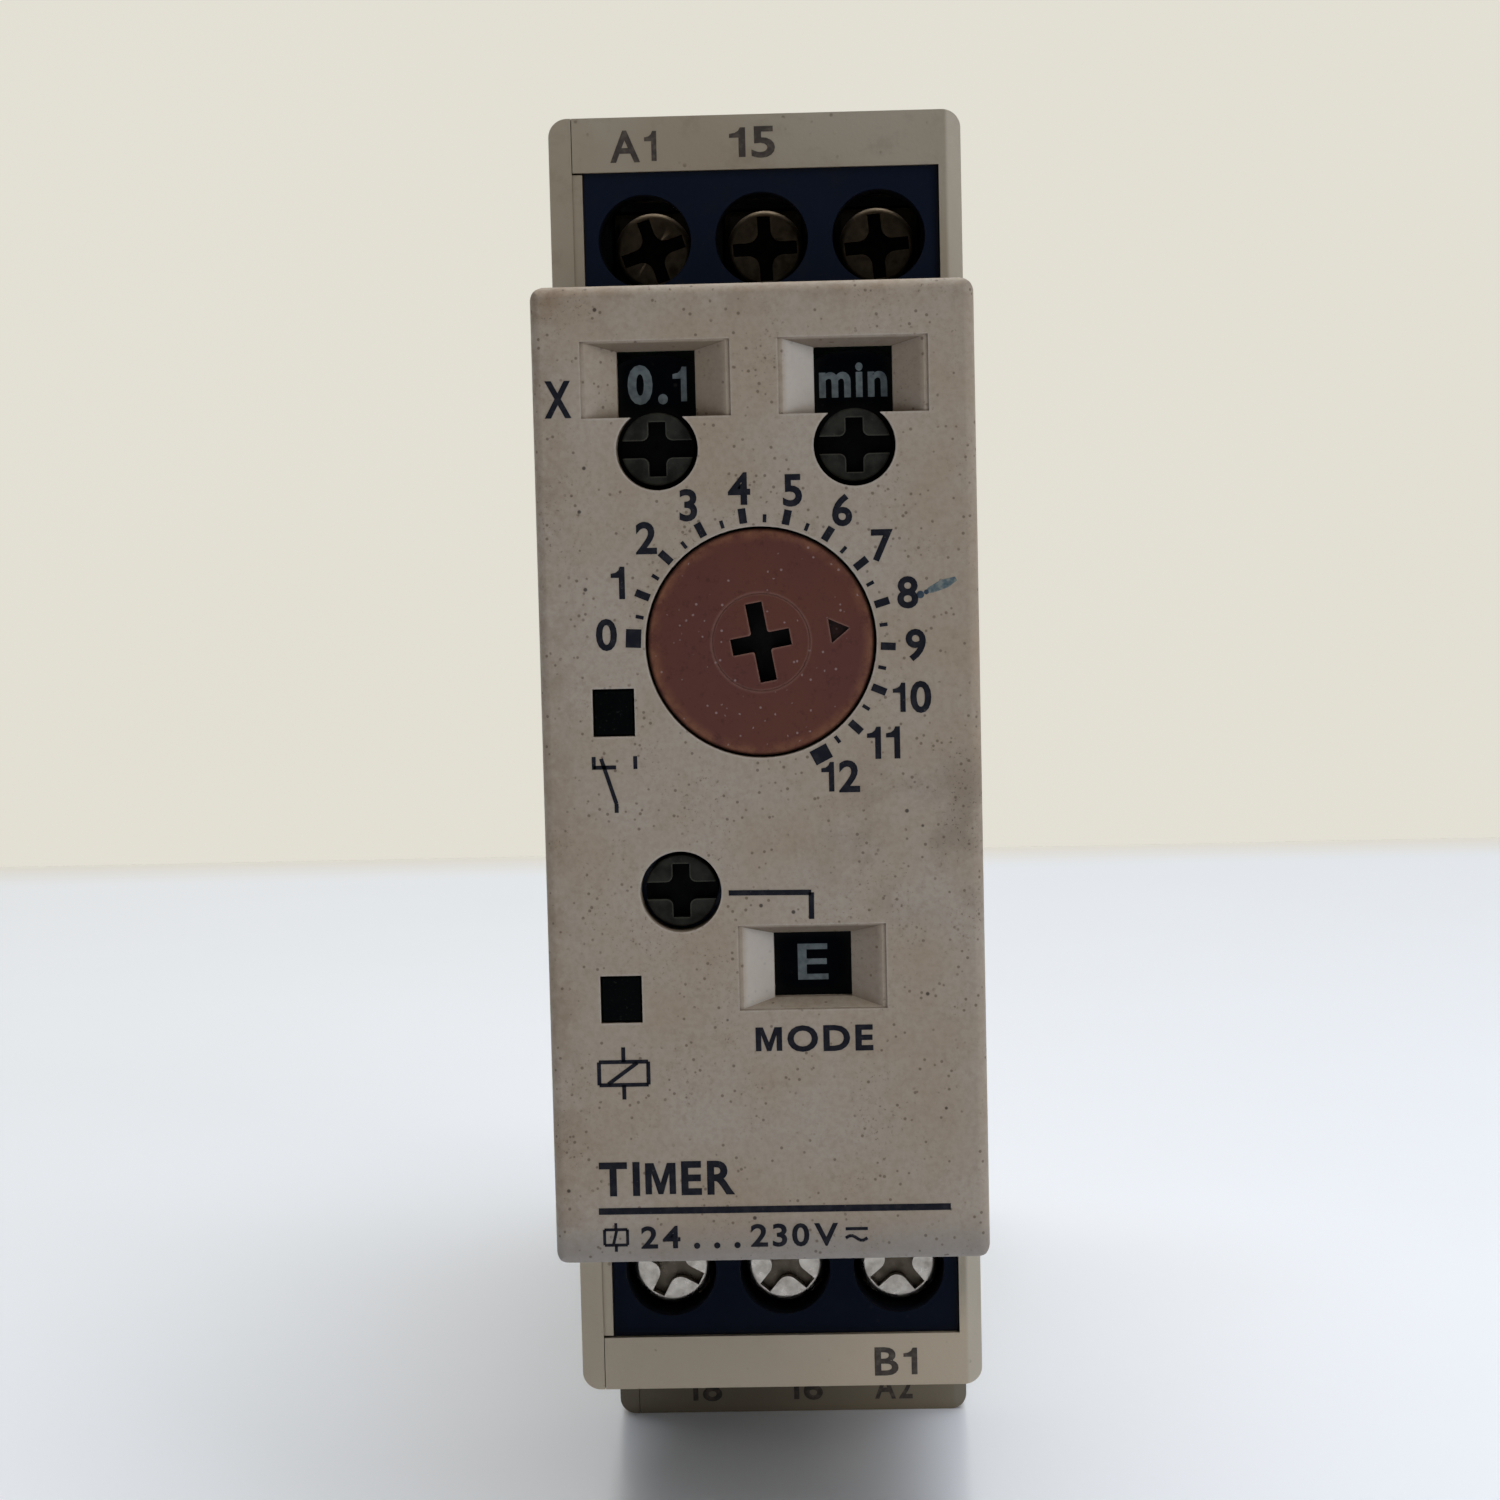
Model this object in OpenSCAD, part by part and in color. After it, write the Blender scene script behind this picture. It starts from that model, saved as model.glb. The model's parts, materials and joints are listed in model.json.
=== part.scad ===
// DIN rail timer, 22.5 mm wide, with dial, selectors, screw terminals and rail lock.
// X runs across the width, Y from the front panel (-Y) to the rail (+Y), Z up.
// The origin is at the middle of the base.

/* [Case] */
// Width of the case without its snap ramps
case_w = 22.1; // [22:0.05:22.3]
// Overall width over the snap ramps
ramp_w = 22.5; // [22.4:0.05:22.6]
// Overall height
case_h = 79; // [78.5:0.1:80]
// Overall depth
case_d = 100; // [99:0.5:104]
// Thickness of the case's side wall
wall = 1.2; // [1.1:0.05:1.25]
// Thickness of the left side cover
cover_t = 1.25; // [1.1:0.05:1.3]
// Radius of the long outer edges
edge_r = 1; // [0.6:0.1:1.1]
// Height of the label strip above and below the terminals
strip_h = 2.9; // [2.7:0.05:3]

/* [Steps] */
// Height of the base step, where the lower front terminals stand back from the rear ones
step_h = 9.4; // [9.3:0.05:9.6]
// Depth from the front panel to the front terminals
nose_d = 14; // [13.8:0.1:14.5]
// Depth from the front panel to the rear terminals
rear_step_d = 41.6; // [41:0.1:42.5]

/* [Front panel] */
// Lower edge of the front panel
panel_low = 19.85; // [19.7:0.05:20]
// Upper edge of the front panel
panel_high = 69.3; // [69.1:0.05:69.4]
// Thickness of the front wall
panel_t = 1.6; // [1.5:0.05:1.7]
// Radius of the front edges
panel_r = 0.6; // [0.4:0.05:0.7]
// Depth of the sloped window recesses
recess_d = 1.0; // [0.8:0.05:1.1]

/* [Controls] */
// Radius of the time dial
dial_r = 5.7; // [5.5:0.05:5.75]
// Height of the dial's axis
dial_z = 51.4; // [51.2:0.05:51.6]
// Radius of a selector
selector_r = 1.82; // [1.7:0.02:1.86]
// Radius of a display disc
display_r = 4.75; // [4.6:0.05:4.8]
// Module of the mode gears
gear_m = 0.64; // [0.63:0.01:0.65]

/* [Terminals] */
// Distance between neighbouring terminals
terminal_pitch = 6.3; // [6.25:0.01:6.35]
// Radius of the screwdriver hole
access_r = 2.5; // [2.45:0.05:2.6]
// Radius of the screw head
head_r = 2.15; // [2:0.05:2.2]
// Radius of the screw's shank
shank_r = 1.5; // [1.4:0.05:1.5]
// Travel of a terminal screw
screw_travel = 7; // [6:0.5:7]

/* [Rail clip] */
// Height of the rail's centre line
rail_z = 39.5; // [39:0.1:40]
// Width of the rail that the clip holds
rail_w = 35; // [35:0.1:35.3]
// Depth of the recess in the back
rail_recess_d = 6; // [5.5:0.1:6.5]
// Travel of the rail lock
lock_travel = 4; // [3:0.5:4]

/* [Hidden] */
$fn = 64;
eps = 0.01;
rows = ["top", "front", "rear"];
columns = [1, 2, 3];
screw_nodes = [for (r = rows) for (c = columns) str("screw_", r, "_", c)];
washer_nodes = [for (r = rows) for (c = columns) str("washer_", r, "_", c)];

// Planes across the depth
front_y = -case_d / 2;
back_y = case_d / 2;
tier_y = front_y + nose_d;
rear_tier_y = front_y + rear_step_d;
seat_y = back_y - rail_recess_d;
// Planes across the width
side_x = case_w / 2;
inner_x = side_x - wall;
seam_x = -side_x + cover_t;
block_left = seam_x + 0.54;
block_right = inner_x - 0.05;
// Terminals: one value for each row, top, front and rear
terminal_x0 = (block_left + block_right) / 2;
row_face = [tier_y, tier_y, rear_tier_y];
row_z = [case_h - strip_h - 3.7, step_h + strip_h + 3.63, strip_h + 3.7];
row_wire_side = [1, -1, -1];
row_strip_z = [case_h, step_h, 0];
row_screw_depth = [1.75 + screw_travel, 1.75, 1.75 + screw_travel / 2];
block_recess = 0.35;
block_depth = 21.5;
block_low = [66.9, step_h + strip_h, strip_h];
block_high = [case_h - strip_h, 22.3, step_h - 0.05];
// Depths inside a terminal, from the tier's face
chute_from = 3.65;
plate_from = 12;
plate_t = 1.4;
chute_half = 2.45;
tip_pocket_d = 21;
head_h = 2;
head_gap = 0.05;
shank_l = 9.6;
screw_recess_l = 3.3;
screw_recess_w = 0.9;
screw_recess_d = 1.2;
washer_t = 0.9;
washer_half = 2;
plate_half = 2.35;
wire_half = 1.9;
wire_from = 5.2;
wire_to = 11.6;
strap_x = 1.98;
strap_t = 0.42;
strap_half = 1.1;
strap_end = [22.6, 24, 25.4];
lead_r = 0.35;
// Front controls: [x, z]
dial_at = [0.1, dial_z];
multiplier_at = [-4.87, 61.15];
unit_at = [4.99, 61.15];
mode_at = [-4.22, 38.9];
window_1 = [-4.87, 64.4];
window_2 = [4.99, 64.4];
window_3 = [2.34, 34.95];
window_w = 3.92;
window_h = 3.3;
recess_step = 0.12;
recess_side = 1.77;
recess_top = 0.5;
pinion_teeth = 12;
wheel_teeth = 20;
gear_distance = gear_m * (pinion_teeth + wheel_teeth) / 2;
mode_drop = sqrt(pow(gear_distance, 2) - pow(window_3[0] - mode_at[0], 2));
mode_disc_at = [window_3[0], mode_at[1] - mode_drop];
gear_angle = atan2(mode_disc_at[1] - mode_at[1], mode_disc_at[0] - mode_at[0]);
mode_disc_r = 6.05;
selector_gap = 0.23;
dial_gap = 0.1;
dial_face = front_y + 0.2;
dial_t = 1.75;
dial_hub_r = 2.6;
dial_slot = [3, 4];
dial_slot_w = 0.85;
dial_slot_d = 1.6;
dial_slot_angle = 10;
pointer_angle = 8;
pointer_tip = 4.5;
pointer_d = 0.25;
knob_face = front_y + 0.55;
knob_slot = [3.66, 2.7];
knob_slot_w = 0.88;
knob_slot_d = 0.85;
disc_front = front_y + panel_t + 0.3;
disc_t = 0.5;
gear_t = 0.9;
shaft_r = 1;
switch_front = front_y + 3.75;
board_y = front_y + 6.8;
board_t = 1.2;
// Posts behind the panel that the front board rests on
board_posts = [[-7.7, 24.6], [8, 24.2], [0.06, 66.3], [8, 44]];
board_post_r = 0.9;
lens_w = 2.1;
lens_h = 2.4;
led_half = 0.8;
led_h = 0.9;
switch_half = 3.4;
shaft_fit = 0.08;
output_at = [-7.37, 48.02];
power_at = [-7.37, 33.47];
pot_shaft_r = 1.5;
// Snap ramps: [low z, high z]
ramp_spans = [[29.1, 32.5], [51, 52.7]];
ramp_half_w = ramp_w / 2;
tongue_in = inner_x - 1.1;
tongue_out = inner_x - 0.1;
ramp_front = tier_y - 5.8;
ramp_back = tier_y - 2;
// Rail clip
hook_gap = 1.4;
hook_t = 2.6;
hook_reach = 2;
rail_low = rail_z - rail_w / 2;
rail_high = rail_z + rail_w / 2;
recess_low = rail_low - 0.4;
recess_high = rail_high + 0.2;
lock_half = 4;
lock_slot = 0.15;
lock_from_y = seat_y + 0.9;
lock_to_y = lock_from_y + 3.6;
lock_low = 4.3;
lock_high = recess_low - 0.25;
lock_nose = rail_low + 1.6;
lock_window = [6.9, 16.2];
ledge = [7, 8.2];
spring_r = 1.3;
spring_wire = 0.4;
// Boards and what they carry
main_board_x = -7.6;
main_board_t = 1.6;
parts_x = main_board_x + main_board_t;
relay_y = [-16, 14];
relay_z = [44, 60];
relay_w = 12.5;
relay_wall = 0.6;
coil_z = 49.2;
coil_y = [-10, 4];
coil_r = 3.3;
core_r = 1.4;
coil_x = parts_x + relay_w / 2;
armature_y = coil_y[0] - 1.1;
yoke_top = coil_z + coil_r + 2;
contact_z = yoke_top + 2.9;
contact_r = 0.8;

plastic = "#bdb29a";
panel_plastic = "#c2b5a3";
block_plastic = "#1d2a40";
dial_plastic = "#8c5548";
knob_plastic = "#4a4b3f";
nickel = "#b8b0a0";
board_green = "#2f5a3c";
dark = "#15171a";
silver = "#c4c4c0";
switch_plastic = "#2b4a7a";
lens_dark = "#10180f";
brass = "#c08a4a";
sleeve = "#2c3e66";

module box(low, high) {
    translate(low) cube(high - low);
}

// Sketch of X and Z, from y0 back to y1
module prism_y(y0, y1) {
    translate([0, y1, 0]) rotate([90, 0, 0]) linear_extrude(y1 - y0) children();
}

// Sketch of Y and Z, from x0 across to x1
module prism_x(x0, x1) {
    translate([x0, 0, 0]) rotate([90, 0, 90]) linear_extrude(x1 - x0) children();
}

module prism_z(z0, z1) {
    translate([0, 0, z0]) linear_extrude(z1 - z0) children();
}

module rod_y(at, r, y0, y1) {
    translate([at[0], y1, at[1]]) rotate([90, 0, 0]) cylinder(r = r, h = y1 - y0);
}

module rounded_rect(low, high, r) {
    translate([low[0] + r, low[1]]) square([high[0] - low[0] - 2 * r, high[1] - low[1]]);
    translate([low[0], low[1] + r]) square([high[0] - low[0], high[1] - low[1] - 2 * r]);
    for (x = [low[0] + r, high[0] - r])
        for (y = [low[1] + r, high[1] - r])
            translate([x, y]) circle(r);
}

function terminal_x(column) = terminal_x0 + (column - 2) * terminal_pitch;

// Outer form of the case, both tiers and the rail recess
module case_envelope() {
    difference() {
        union() {
            prism_y(tier_y, back_y) rounded_rect([-side_x, step_h], [side_x, case_h], edge_r);
            prism_y(rear_tier_y, back_y) rounded_rect([-side_x, 0], [side_x, case_h], edge_r);
        }
        prism_x(-case_w, case_w) rail_recess();
    }
}

module rail_recess() {
    polygon([
        [seat_y, recess_low],
        [back_y + 1, recess_low],
        [back_y + 1, recess_high + hook_reach],
        [seat_y + hook_gap + hook_t, recess_high - hook_reach],
        [seat_y + hook_gap, recess_high - hook_reach],
        [seat_y + hook_gap, recess_high],
        [seat_y, recess_high]]);
}

// Everything hollow inside the case
module case_cavity(x0, x1) {
    floor_z = 1.6;
    box([x0, tier_y - 1, block_low[1]], [x1, seat_y - 2, block_high[0]]);
    box([x0, rear_tier_y - 1, strip_h], [x1, rear_tier_y + block_depth + 3, step_h]);
    box([x0, rear_tier_y + block_depth + 2, floor_z], [x1, seat_y - 2, block_low[1] + 1]);
    box([x0, seat_y - 3, recess_high + 4], [x1, back_y - 1.6, block_high[0]]);
}

module wire_entries() {
    for (r = [0:2])
        for (c = columns) {
            out = row_strip_z[r] + row_wire_side[r];
            in = row_z[r] + row_wire_side[r] * chute_half;
            box([terminal_x(c) - wire_half, row_face[r] + wire_from, min(in, out)],
                [terminal_x(c) + wire_half, row_face[r] + wire_to, max(in, out)]);
        }
}

// Channel that the rail lock slides in
module lock_channel() {
    half = lock_half + lock_slot;
    box([-half, lock_from_y - lock_slot, -1], [half, lock_to_y + lock_slot, recess_low + 1]);
    box([-half + 1, lock_from_y, -1], [half - 1, back_y + 1, lock_window[0] - 0.4]);
}

module snap_ramp(span, x0, x1) {
    prism_z(span[0], span[1])
        polygon([[x0 - 0.1, ramp_front], [x0, ramp_front], [x1, ramp_back - 1],
            [x1, ramp_back], [x0 - 0.1, ramp_back]]);
}

// Tongues that hold the front panel, on the right-hand side
module snap_tongues() {
    for (span = ramp_spans) {
        box([tongue_in, ramp_front - 0.6, span[0] - 0.8], [tongue_out, tier_y + 5, span[1] + 0.8]);
        box([tongue_in, tier_y + 0.5, span[0] - 0.8], [inner_x + 0.1, tier_y + 5, span[1] + 0.8]);
        snap_ramp(span, tongue_out, ramp_half_w);
    }
}

module main_case() {
    color(plastic)
        difference() {
            union() {
                difference() {
                    intersection() {
                        case_envelope();
                        box([seam_x, front_y, -1], [side_x, back_y, case_h + 1]);
                    }
                    case_cavity(seam_x - 1, inner_x);
                    lock_channel();
                }
                box([-1.4, lock_from_y - 1, ledge[0]], [1.4, lock_to_y + 1, ledge[1]]);
                snap_tongues();
            }
            wire_entries();
            for (p = peg_places())
                translate([seam_x - eps, p[0], p[1]]) rotate([0, 90, 0]) cylinder(r = 0.8, h = 2.5);
        }
}

// Pegs of the side cover, in the thick parts of the case: [y, z]
function peg_places() = [
    [tier_y + 3, case_h - 1.45], [10, case_h - 1.45],
    [tier_y + 3, step_h + 1.45], [seat_y + 3, 15], [seat_y + 4.2, recess_high + 2.9]];

module side_cover() {
    color(plastic) {
        difference() {
            intersection() {
                case_envelope();
                box([-side_x, front_y, -1], [seam_x - 0.04, back_y, case_h + 1]);
            }
        }
        for (r = [0:2])
            box([seam_x - 0.1, row_face[r] + 0.1, block_low[r] + 0.1],
                [block_left - 0.04, row_face[r] + block_depth - 2, block_high[r] - 0.1]);
        for (p = peg_places())
            translate([seam_x - 0.1, p[0], p[1]]) rotate([0, 90, 0]) cylinder(r = 0.75, h = 2.3);
        for (span = ramp_spans)
            mirror([1, 0, 0]) {
                box([tongue_in, ramp_front - 0.6, span[0] - 0.8],
                    [tongue_out, tier_y + 5, span[1] + 0.8]);
                box([tongue_in, tier_y + 0.5, span[0] - 0.8],
                    [side_x - 0.5, tier_y + 5, span[1] + 0.8]);
                snap_ramp(span, tongue_out, ramp_half_w);
            }
    }
}

// Sloped recess round a window: its floor is the window's size and its wider mouth has a low step
module window_recess(at, left, right, top, bottom) {
    y0 = front_y - 1;
    floor_y = front_y + recess_d;
    grow = 1 / recess_d;
    l = at[0] - window_w / 2;
    r = at[0] + window_w / 2;
    b = at[1] - window_h / 2;
    t = at[1] + window_h / 2;
    intersection() {
        prism_z(b - 2, t + 2)
            polygon([[l, floor_y], [r, floor_y], [r + right * (1 + grow), y0],
                [l - left * (1 + grow), y0]]);
        prism_x(l - 4, r + 4)
            polygon([[floor_y, b], [floor_y, t], [y0, t + top * (1 + grow)],
                [y0, b - bottom * (1 + grow)]]);
    }
    box([l - left, y0, b - bottom], [r + right, front_y + recess_step, t + top]);
    box([l, y0, b], [r, front_y + panel_t + 1, t]);
}

module front_panel() {
    inner_y = front_y + panel_t;
    skirt = 1.3;
    back = tier_y - 0.05;
    corner_r = 0.75;
    color(panel_plastic) {
        difference() {
            intersection() {
                prism_y(front_y, back)
                    rounded_rect([-side_x, panel_low], [side_x, panel_high], corner_r);
                prism_z(panel_low, panel_high)
                    rounded_rect([-side_x, front_y], [side_x, back + 2], panel_r);
                prism_x(-side_x, side_x)
                    rounded_rect([front_y, panel_low], [back + 2, panel_high], panel_r);
            }
            box([-inner_x, inner_y, panel_low + skirt], [inner_x, back + 1, panel_high - skirt]);
            window_recess(window_1, recess_side, recess_side, recess_top, 0);
            window_recess(window_2, recess_side, recess_side, recess_top, 0);
            window_recess(window_3, recess_side, recess_side, recess_top, recess_top);
            rod_y(dial_at, dial_r + dial_gap, front_y - 1, inner_y + 1);
            for (at = [multiplier_at, unit_at, mode_at])
                rod_y(at, selector_r + selector_gap, front_y - 1, inner_y + 1);
            for (at = [output_at, power_at])
                box([at[0] - lens_w / 2, front_y - 1, at[1] - lens_h / 2],
                    [at[0] + lens_w / 2, inner_y + 1, at[1] + lens_h / 2]);
            for (span = ramp_spans)
                box([-side_x - 1, ramp_front - 0.3, span[0] - 0.25],
                    [side_x + 1, ramp_back + 0.3, span[1] + 0.25]);
        }
        for (at = board_posts)
            rod_y(at, board_post_r, inner_y - eps, board_y);
    }
}

module terminal_block(r) {
    face = row_face[r];
    difference() {
        box([block_left, face + block_recess, block_low[r] + 0.02],
            [block_right, face + block_depth, block_high[r] - 0.02]);
        for (c = columns) {
            at = [terminal_x(c), row_z[r]];
            rod_y(at, access_r, face - 1, face + chute_from + 0.1);
            box([at[0] - chute_half, face + chute_from, at[1] - chute_half],
                [at[0] + chute_half, face + plate_from + plate_t + 0.05, at[1] + chute_half]);
            rod_y(at, shank_r + 0.35, face + plate_from, face + tip_pocket_d);
            box([at[0] + strap_x - 0.03, face + plate_from + 1, at[1] - strap_half - 0.05],
                [at[0] + chute_half, face + block_depth + 1, at[1] + strap_half + 0.05]);
        }
        wire_entries();
    }
}

module terminal_block_top() {
    color(block_plastic) terminal_block(0);
}

module terminal_block_front() {
    color(block_plastic) terminal_block(1);
}

module terminal_block_rear() {
    color(block_plastic) terminal_block(2);
}

// Threaded clamping plates, each with a strap that leads back into the case
module terminal_plates() {
    color(nickel)
        for (r = [0:2])
            for (c = columns)
                translate([terminal_x(c), row_face[r], row_z[r]])
                    difference() {
                        union() {
                            box([-plate_half, plate_from, -plate_half],
                                [plate_half, plate_from + plate_t, plate_half]);
                            box([strap_x, plate_from + 0.2, -strap_half],
                                [strap_x + strap_t, strap_end[c - 1], strap_half]);
                        }
                        rod_y([0, 0], shank_r + 0.06, 0, plate_from + plate_t + 1);
                    }
}

// Tinned links from the terminal straps across to the main board
module lead_wires() {
    color(silver)
        for (r = [0:2])
            for (c = columns)
                translate([parts_x, row_face[r] + strap_end[c - 1] - lead_r, row_z[r]])
                    rotate([0, 90, 0])
                        cylinder(r = lead_r, h = terminal_x(c) + strap_x - parts_x);
}

// Terminal screw with its cross recess, head face at the row's rest depth
module terminal_screw(r, c) {
    half_l = screw_recess_l / 2;
    half_w = screw_recess_w / 2;
    color(nickel)
        translate([terminal_x(c), row_face[r] + row_screw_depth[r], row_z[r]])
            difference() {
                union() {
                    rod_y([0, 0], head_r, 0, head_h);
                    rod_y([0, 0], shank_r, head_h - eps, head_h + shank_l);
                }
                box([-half_l, -1, -half_w], [half_l, screw_recess_d, half_w]);
                box([-half_w, -1, -half_l], [half_w, screw_recess_d, half_l]);
            }
}

// Square clamping washer, held under the screw's head
module clamp_washer(r, c) {
    y0 = head_h + head_gap;
    color(nickel)
        translate([terminal_x(c), row_face[r] + row_screw_depth[r], row_z[r]])
            difference() {
                box([-washer_half, y0, -washer_half], [washer_half, y0 + washer_t, washer_half]);
                rod_y([0, 0], shank_r + 0.08, y0 - 1, y0 + washer_t + 1);
            }
}

// Cross slot for a small screwdriver, sunk from a face; size is [across, upright]
module cross_slot(at, angle, size, width, y0, depth) {
    translate([at[0], 0, at[1]]) rotate([0, -angle, 0]) {
        box([-size[0] / 2, y0 - 1, -width / 2], [size[0] / 2, y0 + depth, width / 2]);
        box([-width / 2, y0 - 1, -size[1] / 2], [width / 2, y0 + depth, size[1] / 2]);
    }
}

module time_dial() {
    color(dial_plastic)
        difference() {
            union() {
                rod_y(dial_at, dial_r, dial_face, dial_face + dial_t);
                rod_y(dial_at, dial_hub_r, dial_face + dial_t - eps, switch_front - 0.3);
            }
            cross_slot(dial_at, dial_slot_angle, dial_slot, dial_slot_w, dial_face, dial_slot_d);
            translate([dial_at[0], 0, dial_at[1]]) rotate([0, -pointer_angle, 0])
                prism_y(dial_face - 1, dial_face + pointer_d)
                    polygon([[pointer_tip, 0], [pointer_tip - 1, 0.62], [pointer_tip - 1, -0.62]]);
            rod_y(dial_at, pot_shaft_r, dial_face + dial_t + 0.1, switch_front);
        }
}

module dial_shaft() {
    color(silver)
        rod_y(dial_at, pot_shaft_r, dial_face + dial_t + 0.1, board_y - 0.6);
}

// Square body soldered to the front board, with a running bore for its shaft
module rotary_body(at, half, bore_r) {
    chamfer = 0.8;
    difference() {
        prism_y(switch_front, board_y)
            translate(at)
                polygon([[half, half - chamfer], [half - chamfer, half], [chamfer - half, half],
                    [-half, half - chamfer], [-half, chamfer - half], [chamfer - half, -half],
                    [half - chamfer, -half], [half, chamfer - half]]);
        rod_y(at, bore_r, switch_front - 1, board_y - 0.5);
    }
}

module dial_potentiometer() {
    color(switch_plastic) rotary_body(dial_at, 4.3, pot_shaft_r + shaft_fit);
}

module selector_knob(at) {
    difference() {
        union() {
            rod_y(at, selector_r, knob_face, disc_front + disc_t);
            rod_y(at, shaft_r, disc_front, board_y - 0.7);
        }
        cross_slot(at, 0, knob_slot, knob_slot_w, knob_face, knob_slot_d);
    }
}

module display_disc(at, r) {
    difference() {
        rod_y(at, r, disc_front, disc_front + disc_t);
        rod_y(at, selector_r, disc_front - 1, disc_front + disc_t + 1);
    }
}

// Involute gear outline, centred on the origin, with a tooth on +X
function involute(a) = tan(a) * 180 / PI - a;
function flank_angle(r, pitch_r, base_r, half) =
    half + involute(acos(base_r / pitch_r)) - involute(acos(min(1, base_r / r)));
function gear_outline(teeth) =
    let (pitch_r = gear_m * teeth / 2, base_r = pitch_r * cos(20), tip_r = pitch_r + 0.85 * gear_m,
        root_r = pitch_r - 1.15 * gear_m, half = 80 / teeth, low_r = max(base_r, root_r),
        radii = [for (k = [0:3]) low_r + (tip_r - low_r) * k / 3],
        angles = [for (r = radii) flank_angle(r, pitch_r, base_r, half)])
    [for (i = [0:teeth - 1]) let (a = 360 * i / teeth) each concat(
        [root_r * [cos(a - angles[0]), sin(a - angles[0])]],
        [for (k = [0:3]) radii[k] * [cos(a - angles[k]), sin(a - angles[k])]],
        [for (k = [3:-1:0]) radii[k] * [cos(a + angles[k]), sin(a + angles[k])]],
        [root_r * [cos(a + angles[0]), sin(a + angles[0])]])];

module multiplier_selector() {
    color(knob_plastic) selector_knob(multiplier_at);
}

module multiplier_display() {
    color(dark) display_disc(multiplier_at, display_r);
}

module multiplier_switch() {
    color(switch_plastic) rotary_body(multiplier_at, switch_half, shaft_r + shaft_fit);
}

module unit_selector() {
    color(knob_plastic) selector_knob(unit_at);
}

module unit_display() {
    color(dark) display_disc(unit_at, display_r);
}

module unit_switch() {
    color(switch_plastic) rotary_body(unit_at, switch_half, shaft_r + shaft_fit);
}

module mode_selector() {
    color(knob_plastic) {
        selector_knob(mode_at);
        prism_y(disc_front + disc_t + 0.15, disc_front + disc_t + 0.15 + gear_t)
            translate(mode_at) rotate(gear_angle) polygon(gear_outline(pinion_teeth));
    }
}

module mode_display() {
    y0 = disc_front + disc_t;
    color(dark)
        difference() {
            union() {
                rod_y(mode_disc_at, mode_disc_r, disc_front, y0 + 0.15);
                prism_y(y0 + 0.14, y0 + 0.15 + gear_t)
                    translate(mode_disc_at) rotate(gear_angle + 180 + 180 / wheel_teeth)
                        polygon(gear_outline(wheel_teeth));
            }
            rod_y(mode_disc_at, shaft_r + 0.06, disc_front + 0.2, y0 + gear_t + 1);
        }
}

module mode_switch() {
    color(switch_plastic) rotary_body(mode_at, switch_half - 0.2, shaft_r + shaft_fit);
}

// Fixed pin that the mode disc turns on, with a wider foot on the board
module display_spindle() {
    foot_r = 1.8;
    color(silver) {
        rod_y(mode_disc_at, shaft_r, disc_front + 0.4, board_y);
        rod_y(mode_disc_at, foot_r, disc_front + disc_t + gear_t + 0.3, board_y);
    }
}

module lens(at) {
    box([at[0] - lens_w / 2 + 0.03, front_y + 0.1, at[1] - lens_h / 2 + 0.03],
        [at[0] + lens_w / 2 - 0.03, switch_front + 1.2, at[1] + lens_h / 2 - 0.03]);
}

module led(at) {
    box([at[0] - led_half, board_y - led_h, at[1] - led_half],
        [at[0] + led_half, board_y, at[1] + led_half]);
}

module output_lens() {
    color(lens_dark) lens(output_at);
}

module power_lens() {
    color(lens_dark) lens(power_at);
}

module output_led() {
    color("orange") led(output_at);
}

module power_led() {
    color("lime") led(power_at);
}

module front_board() {
    color(board_green)
        box([-8.4, board_y, panel_low + 3.6], [8.5, board_y + board_t, panel_high - 2.2]);
}

module main_board() {
    color(board_green) {
        prism_x(main_board_x, parts_x)
            polygon([[board_y + board_t + 0.5, 23.5], [-10.5, 23.5], [-10.5, 13.2], [16, 13.2],
                [16, 4], [40.5, 4], [40.5, 74.5], [-12.5, 74.5], [-12.5, 65.5],
                [board_y + board_t + 0.5, 65.5]]);
    }
}

module board_header() {
    color(dark)
        box([parts_x, board_y + board_t, 37], [parts_x + 2.6, board_y + board_t + 4, 57]);
}

module relay_base() {
    color(dark)
        box([parts_x, relay_y[0] + 0.7, relay_z[0] + 0.7],
            [parts_x + 1.2, relay_y[1] - 0.7, relay_z[1] - 0.7]);
}

module relay_cover() {
    color("#d8d8d0", 0.5)
        difference() {
            box([parts_x + 0.05, relay_y[0], relay_z[0]],
                [parts_x + relay_w, relay_y[1], relay_z[1]]);
            box([parts_x - 1, relay_y[0] + relay_wall, relay_z[0] + relay_wall],
                [parts_x + relay_w - relay_wall, relay_y[1] - relay_wall, relay_z[1] - relay_wall]);
        }
}

module relay_coil() {
    at = [coil_x, coil_z];
    color("#a86432")
        difference() {
            union() {
                rod_y(at, coil_r, coil_y[0] + 0.8, coil_y[1] - 0.8);
                rod_y(at, coil_r + 0.8, coil_y[0], coil_y[0] + 0.8 + eps);
                rod_y(at, coil_r + 0.8, coil_y[1] - 0.8 - eps, coil_y[1]);
            }
            rod_y(at, core_r + 0.03, coil_y[0] - 1, coil_y[1] + 1);
        }
}

// Coil core with the yoke that carries the armature
module relay_core() {
    color(silver) {
        rod_y([coil_x, coil_z], core_r, coil_y[0] - 0.75, coil_y[1] + 0.1);
        box([coil_x - 3, coil_y[1], coil_z - 3], [coil_x + 3, coil_y[1] + 1, yoke_top]);
        box([coil_x - 3, armature_y + 0.5, yoke_top - 1], [coil_x + 3, coil_y[1] + 1, yoke_top]);
    }
}

// Plate that the coil pulls in, hinged at the yoke's end
module relay_armature() {
    color(silver)
        box([coil_x - 3, armature_y - 1.3, coil_z - 3],
            [coil_x + 3, armature_y - 0.3, yoke_top + 0.7]);
}

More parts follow.
